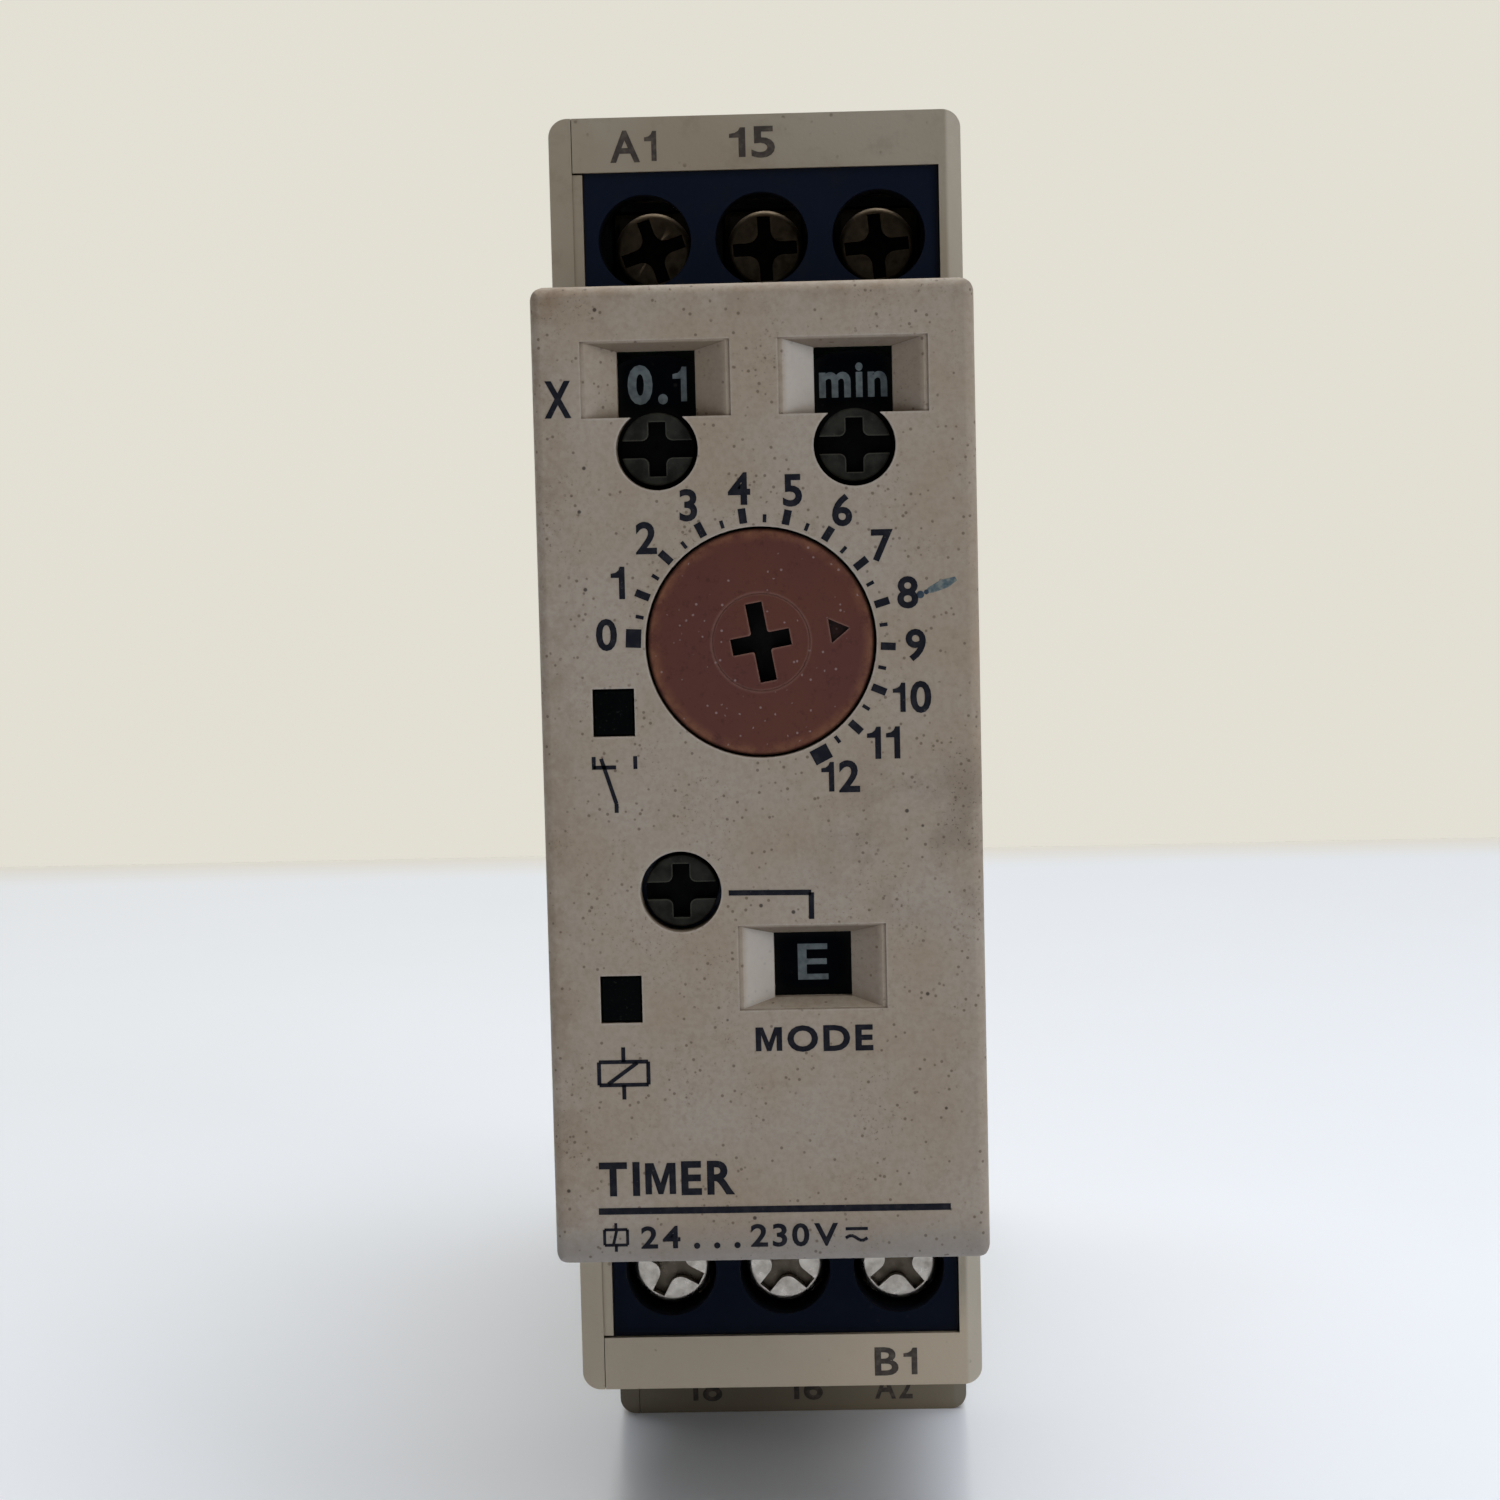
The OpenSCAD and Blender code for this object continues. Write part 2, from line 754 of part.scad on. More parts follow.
module relay_contact_spring() {
    color(brass) {
        box([coil_x - 1.5, armature_y - 1, yoke_top + 0.7],
            [coil_x + 1.5, armature_y - 0.7, contact_z + 1]);
        rod_y([coil_x, contact_z], contact_r, armature_y - 1.5, armature_y - 1 + eps);
    }
}

module relay_fixed_contact() {
    color(brass) {
        rod_y([coil_x, contact_z], contact_r, armature_y - 2.2 - eps, armature_y - 1.95);
        box([parts_x + 1.2, armature_y - 2.7, contact_z - 1.1],
            [coil_x + 1.5, armature_y - 2.2, contact_z + 1.1]);
    }
}

module capacitor_main() {
    r = 5;
    color(sleeve) rod_y([parts_x + r, 30.5], r, 18, 39);
}

module capacitors_small() {
    r = 2.5;
    color(sleeve)
        for (y = [-24, -16, -8])
            translate([parts_x, y, 30]) rotate([0, 90, 0]) cylinder(r = r, h = 8);
}

module transformer_coil() {
    color("#b5a24a")
        difference() {
            box([parts_x + 1, 24, 46], [parts_x + 12, 34, 60]);
            box([parts_x + 4, 23, 50], [parts_x + 9, 35, 56]);
        }
}

module transformer_core() {
    color("#3c3c40") {
        box([parts_x + 4.1, 20, 50.1], [parts_x + 8.9, 38, 55.9]);
        for (y = [20, 35.9])
            box([parts_x + 4.1, y, 43], [parts_x + 8.9, y + 2.1, 63]);
        for (z = [43, 60.4])
            box([parts_x + 4.1, 20, z], [parts_x + 8.9, 38, z + 2.6]);
    }
}

module controller_chip() {
    color(dark) {
        box([parts_x + 0.2, 0, 28], [parts_x + 1.9, 8, 38]);
        for (z = [28.6:1.27:37.6])
            box([parts_x, -1.2, z - 0.2], [parts_x + 0.7, 9.2, z + 0.2]);
    }
}

module rail_lock() {
    half = lock_half;
    hook_y = seat_y + hook_gap;
    color("#2a2c30")
        difference() {
            union() {
                box([-half, lock_from_y, lock_low], [half, lock_to_y, lock_high]);
                prism_x(-half, half)
                    polygon([[hook_y, lock_high - eps], [lock_to_y, lock_high - eps],
                        [lock_to_y, lock_high + 0.6], [hook_y + 1, lock_nose], [hook_y, lock_nose]]);
            }
            box([-1.6, lock_from_y - 1, lock_window[0]], [1.6, lock_to_y + 1, lock_window[1]]);
            box([-1.7, lock_from_y - 1, lock_low + 0.9], [1.7, lock_to_y + 1, lock_low + 1.8]);
        }
}

// Closed outer form of the lock's compression spring
module lock_spring() {
    y = (lock_from_y + lock_to_y) / 2;
    color(silver)
        translate([0, y, ledge[1] + 0.05])
            difference() {
                cylinder(r = spring_r, h = lock_window[1] - ledge[1] - 0.1);
                translate([0, 0, -1]) cylinder(r = spring_r - spring_wire, h = 12);
            }
}

main_case();
side_cover();
front_panel();
terminal_block_top();
terminal_block_front();
terminal_block_rear();
terminal_plates();
lead_wires();
for (r = [0:2])
    for (c = columns) {
        terminal_screw(r, c);
        clamp_washer(r, c);
    }
time_dial();
dial_shaft();
dial_potentiometer();
multiplier_selector();
multiplier_display();
multiplier_switch();
unit_selector();
unit_display();
unit_switch();
mode_selector();
mode_display();
mode_switch();
display_spindle();
output_lens();
power_lens();
output_led();
power_led();
front_board();
main_board();
board_header();
relay_base();
relay_cover();
relay_coil();
relay_core();
relay_armature();
relay_contact_spring();
relay_fixed_contact();
capacitor_main();
capacitors_small();
transformer_core();
transformer_coil();
controller_chip();
rail_lock();
lock_spring();
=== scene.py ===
"""Looks of the rail-mounted timer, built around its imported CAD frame. Metres, +Z up, panel faces -Y."""

import json
import math

import bmesh
import bpy
from mathutils import Matrix, Vector


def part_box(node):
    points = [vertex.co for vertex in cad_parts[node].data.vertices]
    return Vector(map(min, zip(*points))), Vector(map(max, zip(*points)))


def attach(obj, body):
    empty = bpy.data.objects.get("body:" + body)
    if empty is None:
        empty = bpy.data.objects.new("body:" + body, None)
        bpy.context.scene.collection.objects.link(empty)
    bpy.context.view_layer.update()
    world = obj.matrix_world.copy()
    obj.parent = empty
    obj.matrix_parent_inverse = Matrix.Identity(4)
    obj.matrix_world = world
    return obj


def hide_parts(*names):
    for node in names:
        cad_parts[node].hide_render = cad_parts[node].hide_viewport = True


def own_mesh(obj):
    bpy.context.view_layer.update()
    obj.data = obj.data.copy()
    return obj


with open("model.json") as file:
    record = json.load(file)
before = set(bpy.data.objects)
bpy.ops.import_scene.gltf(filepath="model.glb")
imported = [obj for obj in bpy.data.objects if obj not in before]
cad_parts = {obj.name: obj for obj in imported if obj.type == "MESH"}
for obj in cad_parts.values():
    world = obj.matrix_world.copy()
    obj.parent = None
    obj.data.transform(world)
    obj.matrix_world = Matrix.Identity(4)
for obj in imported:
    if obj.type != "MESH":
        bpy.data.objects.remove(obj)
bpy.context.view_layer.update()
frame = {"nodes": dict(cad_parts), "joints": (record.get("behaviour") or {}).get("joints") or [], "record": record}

MM = 0.001
CORNERS = {corner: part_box(corner) for corner in frame["nodes"]}
PANEL_LOW, PANEL_HIGH = CORNERS["front_panel"]
PANEL_Y = PANEL_LOW.y
PRINT_T = 0.014 * MM
PRINT_SINK = 0.008 * MM


def axis_of(knob):
    """(x, z) of the axis that a round CAD node turns about, and its radius."""
    low, high = CORNERS[knob]
    middle = (low + high) / 2
    return (middle.x, middle.z), (high.x - low.x) / 2


DIAL_AT, DIAL_R = axis_of("time_dial")


# ---------------------------------------------------------------- materials


class Finish:
    """A procedural material: the helpers add nodes and return their outputs."""

    def __init__(self, name, roughness=0.5, **sockets):
        self.material = bpy.data.materials.new(name)
        self.material.use_nodes = True
        self.tree = self.material.node_tree
        self.shader = self.tree.nodes["Principled BSDF"]
        self.shader.inputs["Roughness"].default_value = roughness
        for socket, value in sockets.items():
            self.shader.inputs[socket.replace("_", " ")].default_value = value
        self.place = self.add("ShaderNodeTexCoord").outputs["Object"]

    def add(self, kind, settings=None, **inputs):
        node = self.tree.nodes.new(kind)
        for key, value in (settings or {}).items():
            setattr(node, key, value)
        for key, value in inputs.items():
            self.feed(node.inputs[key.replace("_", " ")], value)
        return node

    def feed(self, socket, value):
        if isinstance(value, bpy.types.NodeSocket):
            self.tree.links.new(value, socket)
        elif isinstance(value, tuple) and len(value) == 3 and len(socket.default_value) == 4:
            socket.default_value = (*value, 1)
        else:
            socket.default_value = value

    def stretched(self, x, y, z):
        """Object coordinates with each axis scaled, for streaks and brush lines."""
        node = self.add("ShaderNodeMapping", Vector=self.place)
        node.inputs["Scale"].default_value = (x, y, z)
        return node.outputs[0]

    def noise(self, size, detail=3.0, rough=0.5, place=None):
        """Fractal noise whose features are about size metres across."""
        node = self.add("ShaderNodeTexNoise", Vector=place or self.place,
                        Scale=1 / size, Detail=detail, Roughness=rough)
        return node.outputs["Fac"]

    def cells(self, size, place=None):
        """Distance to scattered points about size metres apart, in units of size."""
        node = self.add("ShaderNodeTexVoronoi", Vector=place or self.place, Scale=1 / size)
        return node.outputs["Distance"]

    def span(self, value, low, high, to_low=0.0, to_high=1.0):
        """value mapped from low..high to to_low..to_high, and held there."""
        node = self.add("ShaderNodeMapRange", {"interpolation_type": "SMOOTHSTEP"}, Value=value)
        ends = {"From Min": low, "From Max": high, "To Min": to_low, "To Max": to_high}
        for socket, number in ends.items():
            node.inputs[socket].default_value = number
        return node.outputs[0]

    def times(self, first, second):
        node = self.add("ShaderNodeMath", {"operation": "MULTIPLY"})
        self.feed(node.inputs[0], first)
        self.feed(node.inputs[1], second)
        return node.outputs[0]

    def plus(self, first, second):
        node = self.add("ShaderNodeMath", {"operation": "ADD"})
        self.feed(node.inputs[0], first)
        self.feed(node.inputs[1], second)
        return node.outputs[0]

    def mix(self, factor, first, second):
        node = self.add("ShaderNodeMix", {"data_type": "RGBA"})
        self.feed(node.inputs[0], factor)
        self.feed(node.inputs[6], first)
        self.feed(node.inputs[7], second)
        return node.outputs[2]

    def axis(self, name):
        """One coordinate of the place, in metres."""
        return self.add("ShaderNodeSeparateXYZ", Vector=self.place).outputs[name]

    def depth(self):
        """How far a point of the piece lies behind its front face, in metres."""
        return self.add("ShaderNodeAttribute", {"attribute_name": "depth"}).outputs["Fac"]

    def facing(self, axis):
        """How far a surface faces along X, Y or Z, from -1 to 1."""
        normal = self.add("ShaderNodeNewGeometry").outputs["Normal"]
        return self.add("ShaderNodeSeparateXYZ", Vector=normal).outputs[axis]

    def corner_shade(self, distance):
        """1 in tight corners and 0 on open faces."""
        node = self.add("ShaderNodeAmbientOcclusion", {"samples": 6}, Distance=distance)
        return self.span(node.outputs["AO"], 0.85, 0.35)

    def edge_wear(self, distance):
        """1 on sharp outward edges and 0 on open faces."""
        node = self.add("ShaderNodeAmbientOcclusion", {"samples": 6, "inside": True}, Distance=distance)
        return self.span(node.outputs["AO"], 0.85, 0.5)

    def colour(self, value):
        self.feed(self.shader.inputs["Base Color"], value)

    def roughness(self, value):
        self.feed(self.shader.inputs["Roughness"], value)

    def bump(self, height, depth):
        node = self.add("ShaderNodeBump", Height=height)
        node.inputs["Distance"].default_value = depth
        self.tree.links.new(node.outputs[0], self.shader.inputs["Normal"])
        return node


def moulded(name, base, worn, grime_and_shade, roughness=0.5, grain=0.22 * MM, grain_depth=0.01 * MM,
            specks=0.35, shade_and_dirt_distance=0.9 * MM, stains=0.32, painted_lighting=None, **sockets):
    """Moulded plastic with slow colour drift, fine grain and dark specks; its corners are darkened with painted
    shade mixed with grime.
    """
    f = Finish(name, roughness, **sockets)
    drift = f.span(f.noise(9 * MM, 4), 0.35, 0.68)
    colour = f.mix(f.times(drift, 0.6), base, worn)
    patch = f.span(f.noise(1.6 * MM, 5, 0.7), 0.48, 0.72)
    colour = f.mix(f.times(patch, stains), colour, grime_and_shade)
    # optional hook that adds a piece's painted light and shade
    if painted_lighting:
        colour = painted_lighting(f, colour)
    speck = f.span(f.cells(0.8 * MM), 0.18, 0.07)
    rare = f.span(f.noise(1.1 * MM, 2), 0.56, 0.66)
    colour = f.mix(f.times(f.times(speck, rare), specks), colour, grime_and_shade)
    # painted shade mixed with grime: corners found by ambient occlusion are darkened
    corner = f.corner_shade(shade_and_dirt_distance)
    colour = f.mix(f.times(corner, 0.5), colour, grime_and_shade)
    f.colour(colour)
    f.roughness(f.span(f.noise(2.4 * MM, 4), 0.3, 0.75, roughness - 0.07, roughness + 0.1))
    f.bump(f.plus(f.noise(grain, 2), f.times(speck, 0.4)), grain_depth)
    return f


def case_tint(f, colour):
    """Painted light and shade on the front: painted light lightens it low down, beside the lower terminal block on
    the left and at its right edge; painted shade darkens the set-back lower step.
    """
    x = f.axis("X")
    y = f.axis("Y")
    z = f.axis("Z")
    step = CORNERS["terminal_block_front"][0].z
    face = CORNERS["terminal_block_front"][0].y
    front = f.span(f.facing("Y"), -0.3, -0.7)
    # painted light: front faces lightened low down and beside the lower terminal block on the left
    beside = f.times(f.span(x, -9.1 * MM, -9.5 * MM), f.span(z, step + 14 * MM, step + 9 * MM))
    beside = f.times(beside, f.span(z, step, step + 3 * MM))
    low = f.times(f.plus(f.span(z, step + 3 * MM, step), beside), front)
    colour = f.mix(f.times(low, 0.7), colour, (0.60, 0.50, 0.37))
    # painted light: the right edge of the front lightened
    rim = f.times(f.span(x, 10.15 * MM, 10.4 * MM), front)
    colour = f.mix(f.times(rim, 0.8), colour, (0.62, 0.56, 0.46))
    # painted shade: front faces of the set-back lower step darkened
    shaded_step = f.span(y, face + 3 * MM, face + 4 * MM)
    return f.mix(f.times(f.times(shaded_step, front), 0.75), colour, (0.11, 0.095, 0.065))


def case_finish():
    return moulded("case_plastic", (0.39, 0.345, 0.275), (0.345, 0.29, 0.205), (0.12, 0.085, 0.05),
                   specks=0.6, stains=0.17, painted_lighting=case_tint, Specular_IOR_Level=0.2).material


def within(f, value, full, none):
    """1 while a value lies inside plus or minus full, fading to 0 at plus or minus none."""
    return f.times(f.span(value, -none, -full), f.span(value, none, full))


def panel_finish():
    """Aged panel plastic: browner towards its left and top edges, smudged at the lower right; painted shade mixed
    with grime darkens its corners, painted light and shade mark its recess slopes, and a painted highlight
    lightens its edges.
    """
    f = Finish("panel_plastic", 0.5, Specular_IOR_Level=0.2)
    x = f.axis("X")
    z = f.axis("Z")
    base = (0.418, 0.358, 0.292)
    warm = (0.385, 0.308, 0.23)
    brown = (0.075, 0.042, 0.022)
    dusty = (0.23, 0.175, 0.12)
    colour = f.mix(f.span(f.noise(7 * MM, 5, 0.6), 0.36, 0.66), base, warm)
    mottle = f.span(f.noise(0.34 * MM, 4, 0.65), 0.38, 0.68)
    colour = f.mix(f.times(mottle, 0.24), colour, dusty)
    left = f.span(x, PANEL_LOW.x + 2.6 * MM, PANEL_LOW.x + 0.2 * MM)
    left = f.times(left, f.span(f.facing("Y"), -0.3, -0.7))
    top = f.span(z, PANEL_HIGH.z - 2.2 * MM, PANEL_HIGH.z - 0.2 * MM)
    edge = f.plus(f.times(left, 0.4), f.times(top, 0.3))
    patchy = f.span(f.noise(1.4 * MM, 6, 0.7), 0.36, 0.68)
    colour = f.mix(f.times(edge, patchy), colour, (0.19, 0.12, 0.065))
    middle_height = f.times(f.span(z, 47 * MM, 43.5 * MM), f.span(z, 36 * MM, 40 * MM))
    low_right = f.times(f.span(x, 0 * MM, 8 * MM), middle_height)
    smudge = f.times(low_right, f.span(f.noise(3.0 * MM, 6, 0.7), 0.40, 0.62))
    colour = f.mix(f.times(smudge, 0.45), colour, (0.20, 0.155, 0.115))
    bottom = f.span(z, PANEL_LOW.z + 2.8 * MM, PANEL_LOW.z + 0.2 * MM)
    colour = f.mix(f.times(bottom, 0.6), colour, (0.25, 0.235, 0.225))
    stain = f.span(f.noise(0.9 * MM, 6, 0.78), 0.54, 0.70)
    colour = f.mix(f.times(stain, 0.3), colour, dusty)
    cluster = f.plus(f.span(f.noise(3.2 * MM, 4, 0.6), 0.48, 0.66, 0.0, 0.7), f.times(smudge, 0.8))
    fine = f.span(f.noise(0.17 * MM, 3, 0.75), 0.60, 0.67)
    colour = f.mix(f.times(f.times(fine, cluster), 0.85), colour, (0.10, 0.07, 0.05))
    speck = f.span(f.cells(0.44 * MM), 0.24, 0.12)
    rare = f.span(f.noise(1.1 * MM, 3), 0.46, 0.56)
    colour = f.mix(f.times(f.times(speck, rare), 0.6), colour, brown)
    big = f.span(f.cells(2.6 * MM), 0.05, 0.025)
    colour = f.mix(f.times(big, 0.85), colour, (0.03, 0.02, 0.018))
    # painted light: in the panel's recesses right of x -3 mm, slopes facing +X are lightened
    recess = f.times(f.span(f.depth(), 0.03 * MM, 0.3 * MM), within(f, x, 9.8 * MM, 10.2 * MM))
    recess = f.times(recess, f.times(f.span(z, PANEL_HIGH.z - 0.5 * MM, PANEL_HIGH.z - 0.9 * MM),
                                     f.span(z, PANEL_LOW.z + 0.3 * MM, PANEL_LOW.z + 0.7 * MM)))
    lit_slope = f.times(f.span(f.facing("X"), 0.1, 0.5), f.span(x, -3.2 * MM, -2.8 * MM))
    colour = f.mix(f.times(f.times(recess, lit_slope), 0.55), colour, (0.66, 0.62, 0.57))
    # painted shade with some dust: recess slopes facing -X and, more strongly, facing down are darkened brown
    facing_left = f.span(f.facing("X"), -0.1, -0.5, 0.0, 0.35)
    facing_down = f.span(f.facing("Z"), -0.1, -0.5, 0.0, 0.65)
    shade_and_dust_side = f.plus(facing_left, facing_down)
    colour = f.mix(f.times(recess, shade_and_dust_side), colour, (0.09, 0.06, 0.032))
    # painted highlight with some wear: the panel's convex edges are lightened
    colour = f.mix(f.times(f.edge_wear(0.2 * MM), 0.4), colour, (0.62, 0.58, 0.54))
    # painted shade mixed with grime: the panel's corners are darkened brown
    corner = f.corner_shade(0.8 * MM)
    f.colour(f.mix(f.times(corner, 0.75), colour, (0.10, 0.065, 0.038)))
    f.roughness(f.span(f.noise(2.0 * MM, 4), 0.3, 0.75, 0.46, 0.64))
    f.bump(f.plus(f.noise(0.2 * MM, 3), f.times(stain, 0.3)), 0.012 * MM)
    return f.material


def block_finish():
    def darker_places(f, colour):
        # painted shade: the lower terminal blocks darkened below 40 mm height
        colour = f.mix(f.span(f.axis("Z"), 40 * MM, 30 * MM, 0.0, 0.7), colour, (0.0008, 0.0025, 0.008))
        # painted shade: nearly black deeper than 0.4 to 1.8 mm behind a block's face, down its screw holes
        return f.mix(f.span(f.depth(), 0.4 * MM, 1.8 * MM, 0.0, 0.9), colour, (0.0003, 0.0006, 0.0012))

    return moulded("block_plastic", (0.0048, 0.0093, 0.023), (0.007, 0.0125, 0.028), (0.016, 0.016, 0.018),
                   roughness=0.5, specks=0.4, painted_lighting=darker_places, Specular_IOR_Level=0.06).material


def dial_finish():
    """Brown dial plastic with glittering specks, lighter round its rim with a painted highlight broken up like
    wear, and black down in its slot with painted shade.
    """
    f = Finish("dial_plastic", 0.5, Specular_IOR_Level=0.12)
    x = f.axis("X")
    z = f.axis("Z")
    dx = f.plus(x, -DIAL_AT[0])
    dz = f.plus(z, -DIAL_AT[1])
    root = f.add("ShaderNodeMath", {"operation": "SQRT"})
    f.feed(root.inputs[0], f.plus(f.times(dx, dx), f.times(dz, dz)))
    radius = root.outputs[0]
    base = (0.122, 0.043, 0.030)
    purple = (0.112, 0.040, 0.033)
    colour = f.mix(f.span(f.noise(3.4 * MM, 4), 0.35, 0.7), base, purple)
    # painted highlight with wear: a patchy lighter band round the rim
    rim = f.span(radius, DIAL_R - 0.75 * MM, DIAL_R - 0.1 * MM)
    worn = f.span(f.noise(0.9 * MM, 5, 0.7), 0.3, 0.66)
    colour = f.mix(f.times(f.times(rim, worn), 0.7), colour, (0.27, 0.115, 0.06))
    ring = f.times(f.span(radius, 2.32 * MM, 2.42 * MM), f.span(radius, 2.62 * MM, 2.5 * MM))
    colour = f.mix(f.times(ring, 0.35), colour, (0.26, 0.14, 0.11))
    scuff = f.span(f.noise(0.4 * MM, 6, 0.75), 0.52, 0.68)
    colour = f.mix(f.times(scuff, 0.4), colour, (0.055, 0.020, 0.016))
    glitter = f.span(f.cells(0.42 * MM), 0.2, 0.09)
    sparse = f.span(f.noise(0.45 * MM, 1), 0.53, 0.58)
    colour = f.mix(f.times(f.times(glitter, sparse), 0.6), colour, (0.36, 0.27, 0.26))
    # painted highlight with wear: the dial's convex edges are lightened
    colour = f.mix(f.times(f.edge_wear(0.16 * MM), 0.6), colour, (0.30, 0.17, 0.13))
    # painted shade: darker in tight corners, and nearly black deeper than 0.13 to 0.3 mm behind the face, in the
    # slot, pointer notch and down the sides
    colour = f.mix(f.times(f.corner_shade(0.5 * MM), 0.6), colour, (0.03, 0.018, 0.016))
    f.colour(f.mix(f.span(f.depth(), 0.13 * MM, 0.3 * MM), colour, (0.004, 0.003, 0.003)))
    f.roughness(f.span(f.noise(1.0 * MM, 4), 0.3, 0.75, 0.42, 0.6))
    f.bump(f.noise(0.16 * MM, 3), 0.012 * MM)
    return f.material


def knob_finish():
    """Olive-grey selector plastic, with painted shade making it black down in its slots."""
    f = Finish("knob_plastic", 0.52, Specular_IOR_Level=0.06)
    colour = f.mix(f.span(f.noise(0.9 * MM, 4), 0.35, 0.7), (0.030, 0.030, 0.024), (0.013, 0.013, 0.011))
    dust = f.span(f.noise(0.2 * MM, 5, 0.7), 0.6, 0.74)
    colour = f.mix(f.times(dust, 0.3), colour, (0.10, 0.09, 0.068))
    # painted highlight with wear: convex edges such as the slot lips are lightened
    colour = f.mix(f.times(f.edge_wear(0.12 * MM), 0.45), colour, (0.13, 0.125, 0.10))
    # painted shade: black deeper than 0.12 to 0.45 mm behind the face, in the slots and down the sides
    f.colour(f.mix(f.span(f.depth(), 0.12 * MM, 0.45 * MM), colour, (0.0005, 0.0005, 0.0005)))
    f.roughness(f.span(f.noise(0.5 * MM, 4), 0.3, 0.75, 0.45, 0.65))
    f.bump(f.noise(0.12 * MM, 3), 0.01 * MM)
    return f.material


def display_finish():
    return moulded("display_plastic", (0.0005, 0.001, 0.002), (0.001, 0.0015, 0.0025), (0.02, 0.019, 0.018),
                   roughness=0.6, specks=0.6, stains=0.1, Specular_IOR_Level=0.02).material


def character_finish():
    """Grey-blue characters printed on the display discs."""
    f = Finish("display_ink", 0.6, Specular_IOR_Level=0.1)
    f.colour(f.mix(f.span(f.noise(0.45 * MM, 4), 0.35, 0.7), (0.165, 0.195, 0.20), (0.10, 0.12, 0.125)))
    f.bump(f.noise(0.1 * MM, 2), 0.004 * MM)
    return f.material


def ink_finish():
    """Dark printing ink, a little worn through."""
    f = Finish("printing_ink", 0.6, Specular_IOR_Level=0.1)
    colour = f.mix(f.span(f.noise(0.5 * MM, 4), 0.4, 0.75), (0.009, 0.010, 0.016), (0.022, 0.022, 0.028))
    worn = f.span(f.noise(0.16 * MM, 4, 0.7), 0.62, 0.74)
    f.colour(f.mix(f.times(worn, 0.45), colour, (0.16, 0.14, 0.12)))
    f.bump(f.noise(0.12 * MM, 2), 0.004 * MM)
    return f.material


def strip_ink_finish():
    """Dark grey moulded-in marks on the label strips."""
    f = Finish("strip_ink", 0.6, Specular_IOR_Level=0.15)
    f.colour(f.mix(f.span(f.noise(0.4 * MM, 4), 0.4, 0.75), (0.06, 0.05, 0.045), (0.12, 0.10, 0.08)))
    f.bump(f.noise(0.12 * MM, 2), 0.004 * MM)
    return f.material


def pen_finish(name, first, second):
    f = Finish(name, 0.5)
    f.colour(f.mix(f.span(f.noise(0.25 * MM, 4), 0.35, 0.65), first, second))
    f.bump(f.noise(0.1 * MM, 2), 0.003 * MM)
    return f.material


def plated_finish(name="plated_steel", base=(0.63, 0.575, 0.50), dull=(0.24, 0.20, 0.155), shine=0.32,
                  recess_shade=(0.10, 0.082, 0.06)):
    """Metal plating: dulled in patches, brown in its corners, and dark down in a screw's recess with painted
    shade.
    """
    f = Finish(name, shine, Metallic=1.0)
    dulled = f.span(f.noise(0.9 * MM, 5, 0.65), 0.4, 0.75)
    colour = f.mix(f.times(dulled, 0.6), base, dull)
    colour = f.mix(f.times(f.corner_shade(0.5 * MM), 0.7), colour, (0.07, 0.05, 0.03))
    # painted shade: darkened deeper than 0.35 to 0.75 mm behind a screw's face, in its recess and down the head's
    # side
    f.colour(f.mix(f.span(f.depth(), 0.35 * MM, 0.75 * MM), colour, recess_shade))
    f.roughness(f.span(f.noise(0.4 * MM, 4), 0.3, 0.75, shine - 0.06, shine + 0.16))
    f.bump(f.noise(0.09 * MM, 3), 0.006 * MM)
    return f.material


def copper_finish():
    """Tinned copper links."""
    f = Finish("tinned_copper", 0.3, Metallic=1.0)
    f.colour(f.mix(f.span(f.noise(0.7 * MM, 4), 0.4, 0.7), (0.72, 0.70, 0.67), (0.52, 0.47, 0.42)))
    f.roughness(f.span(f.noise(0.5 * MM, 3), 0.3, 0.7, 0.24, 0.42))
    return f.material


def glossy_plastic(name, base, second, size=1.5 * MM, roughness=0.25):
    f = Finish(name, roughness)
    f.colour(f.mix(f.span(f.noise(size, 4), 0.35, 0.7), base, second))
    f.roughness(f.span(f.noise(size * 0.6, 4), 0.3, 0.75, roughness - 0.06, roughness + 0.12))
    f.bump(f.noise(0.25 * MM, 2), 0.004 * MM)
    return f.material


def lens_finish():
    """Dark indicator lens with a little dust."""
    f = Finish("lens_plastic", 0.3, Specular_IOR_Level=0.03)
    dust = f.span(f.noise(0.14 * MM, 3, 0.7), 0.62, 0.72)
    drift = f.span(f.noise(0.8 * MM, 3), 0.35, 0.7)
    colour = f.mix(drift, (0.0007, 0.0011, 0.0012), (0.0012, 0.0018, 0.0018))
    f.colour(f.mix(f.times(dust, 0.3), colour, (0.06, 0.06, 0.052)))
    f.roughness(f.span(f.noise(0.5 * MM, 3), 0.3, 0.75, 0.22, 0.45))
    return f.material


def led_finish():
    return glossy_plastic("led_resin", (0.85, 0.55, 0.15), (0.78, 0.46, 0.10), 0.6 * MM, 0.2)


def board_finish():
    """Green board laminate with round pads under its lacquer."""
    f = Finish("board_laminate", 0.32)
    weave = f.span(f.noise(0.5 * MM, 2, place=f.stretched(0.12, 1, 1)), 0.46, 0.54)
    tracks = f.span(f.cells(2.6 * MM), 0.42, 0.46)
    colour = f.mix(f.times(weave, 0.4), (0.045, 0.17, 0.075), (0.07, 0.22, 0.10))
    f.colour(f.mix(f.times(tracks, 0.5), colour, (0.12, 0.32, 0.13)))
    f.bump(f.times(tracks, 0.5), 0.02 * MM)
    return f.material


def dark_finish():
    return moulded("dark_plastic", (0.030, 0.031, 0.034), (0.042, 0.041, 0.041), (0.09, 0.08, 0.065),
                   roughness=0.48, specks=0.4).material


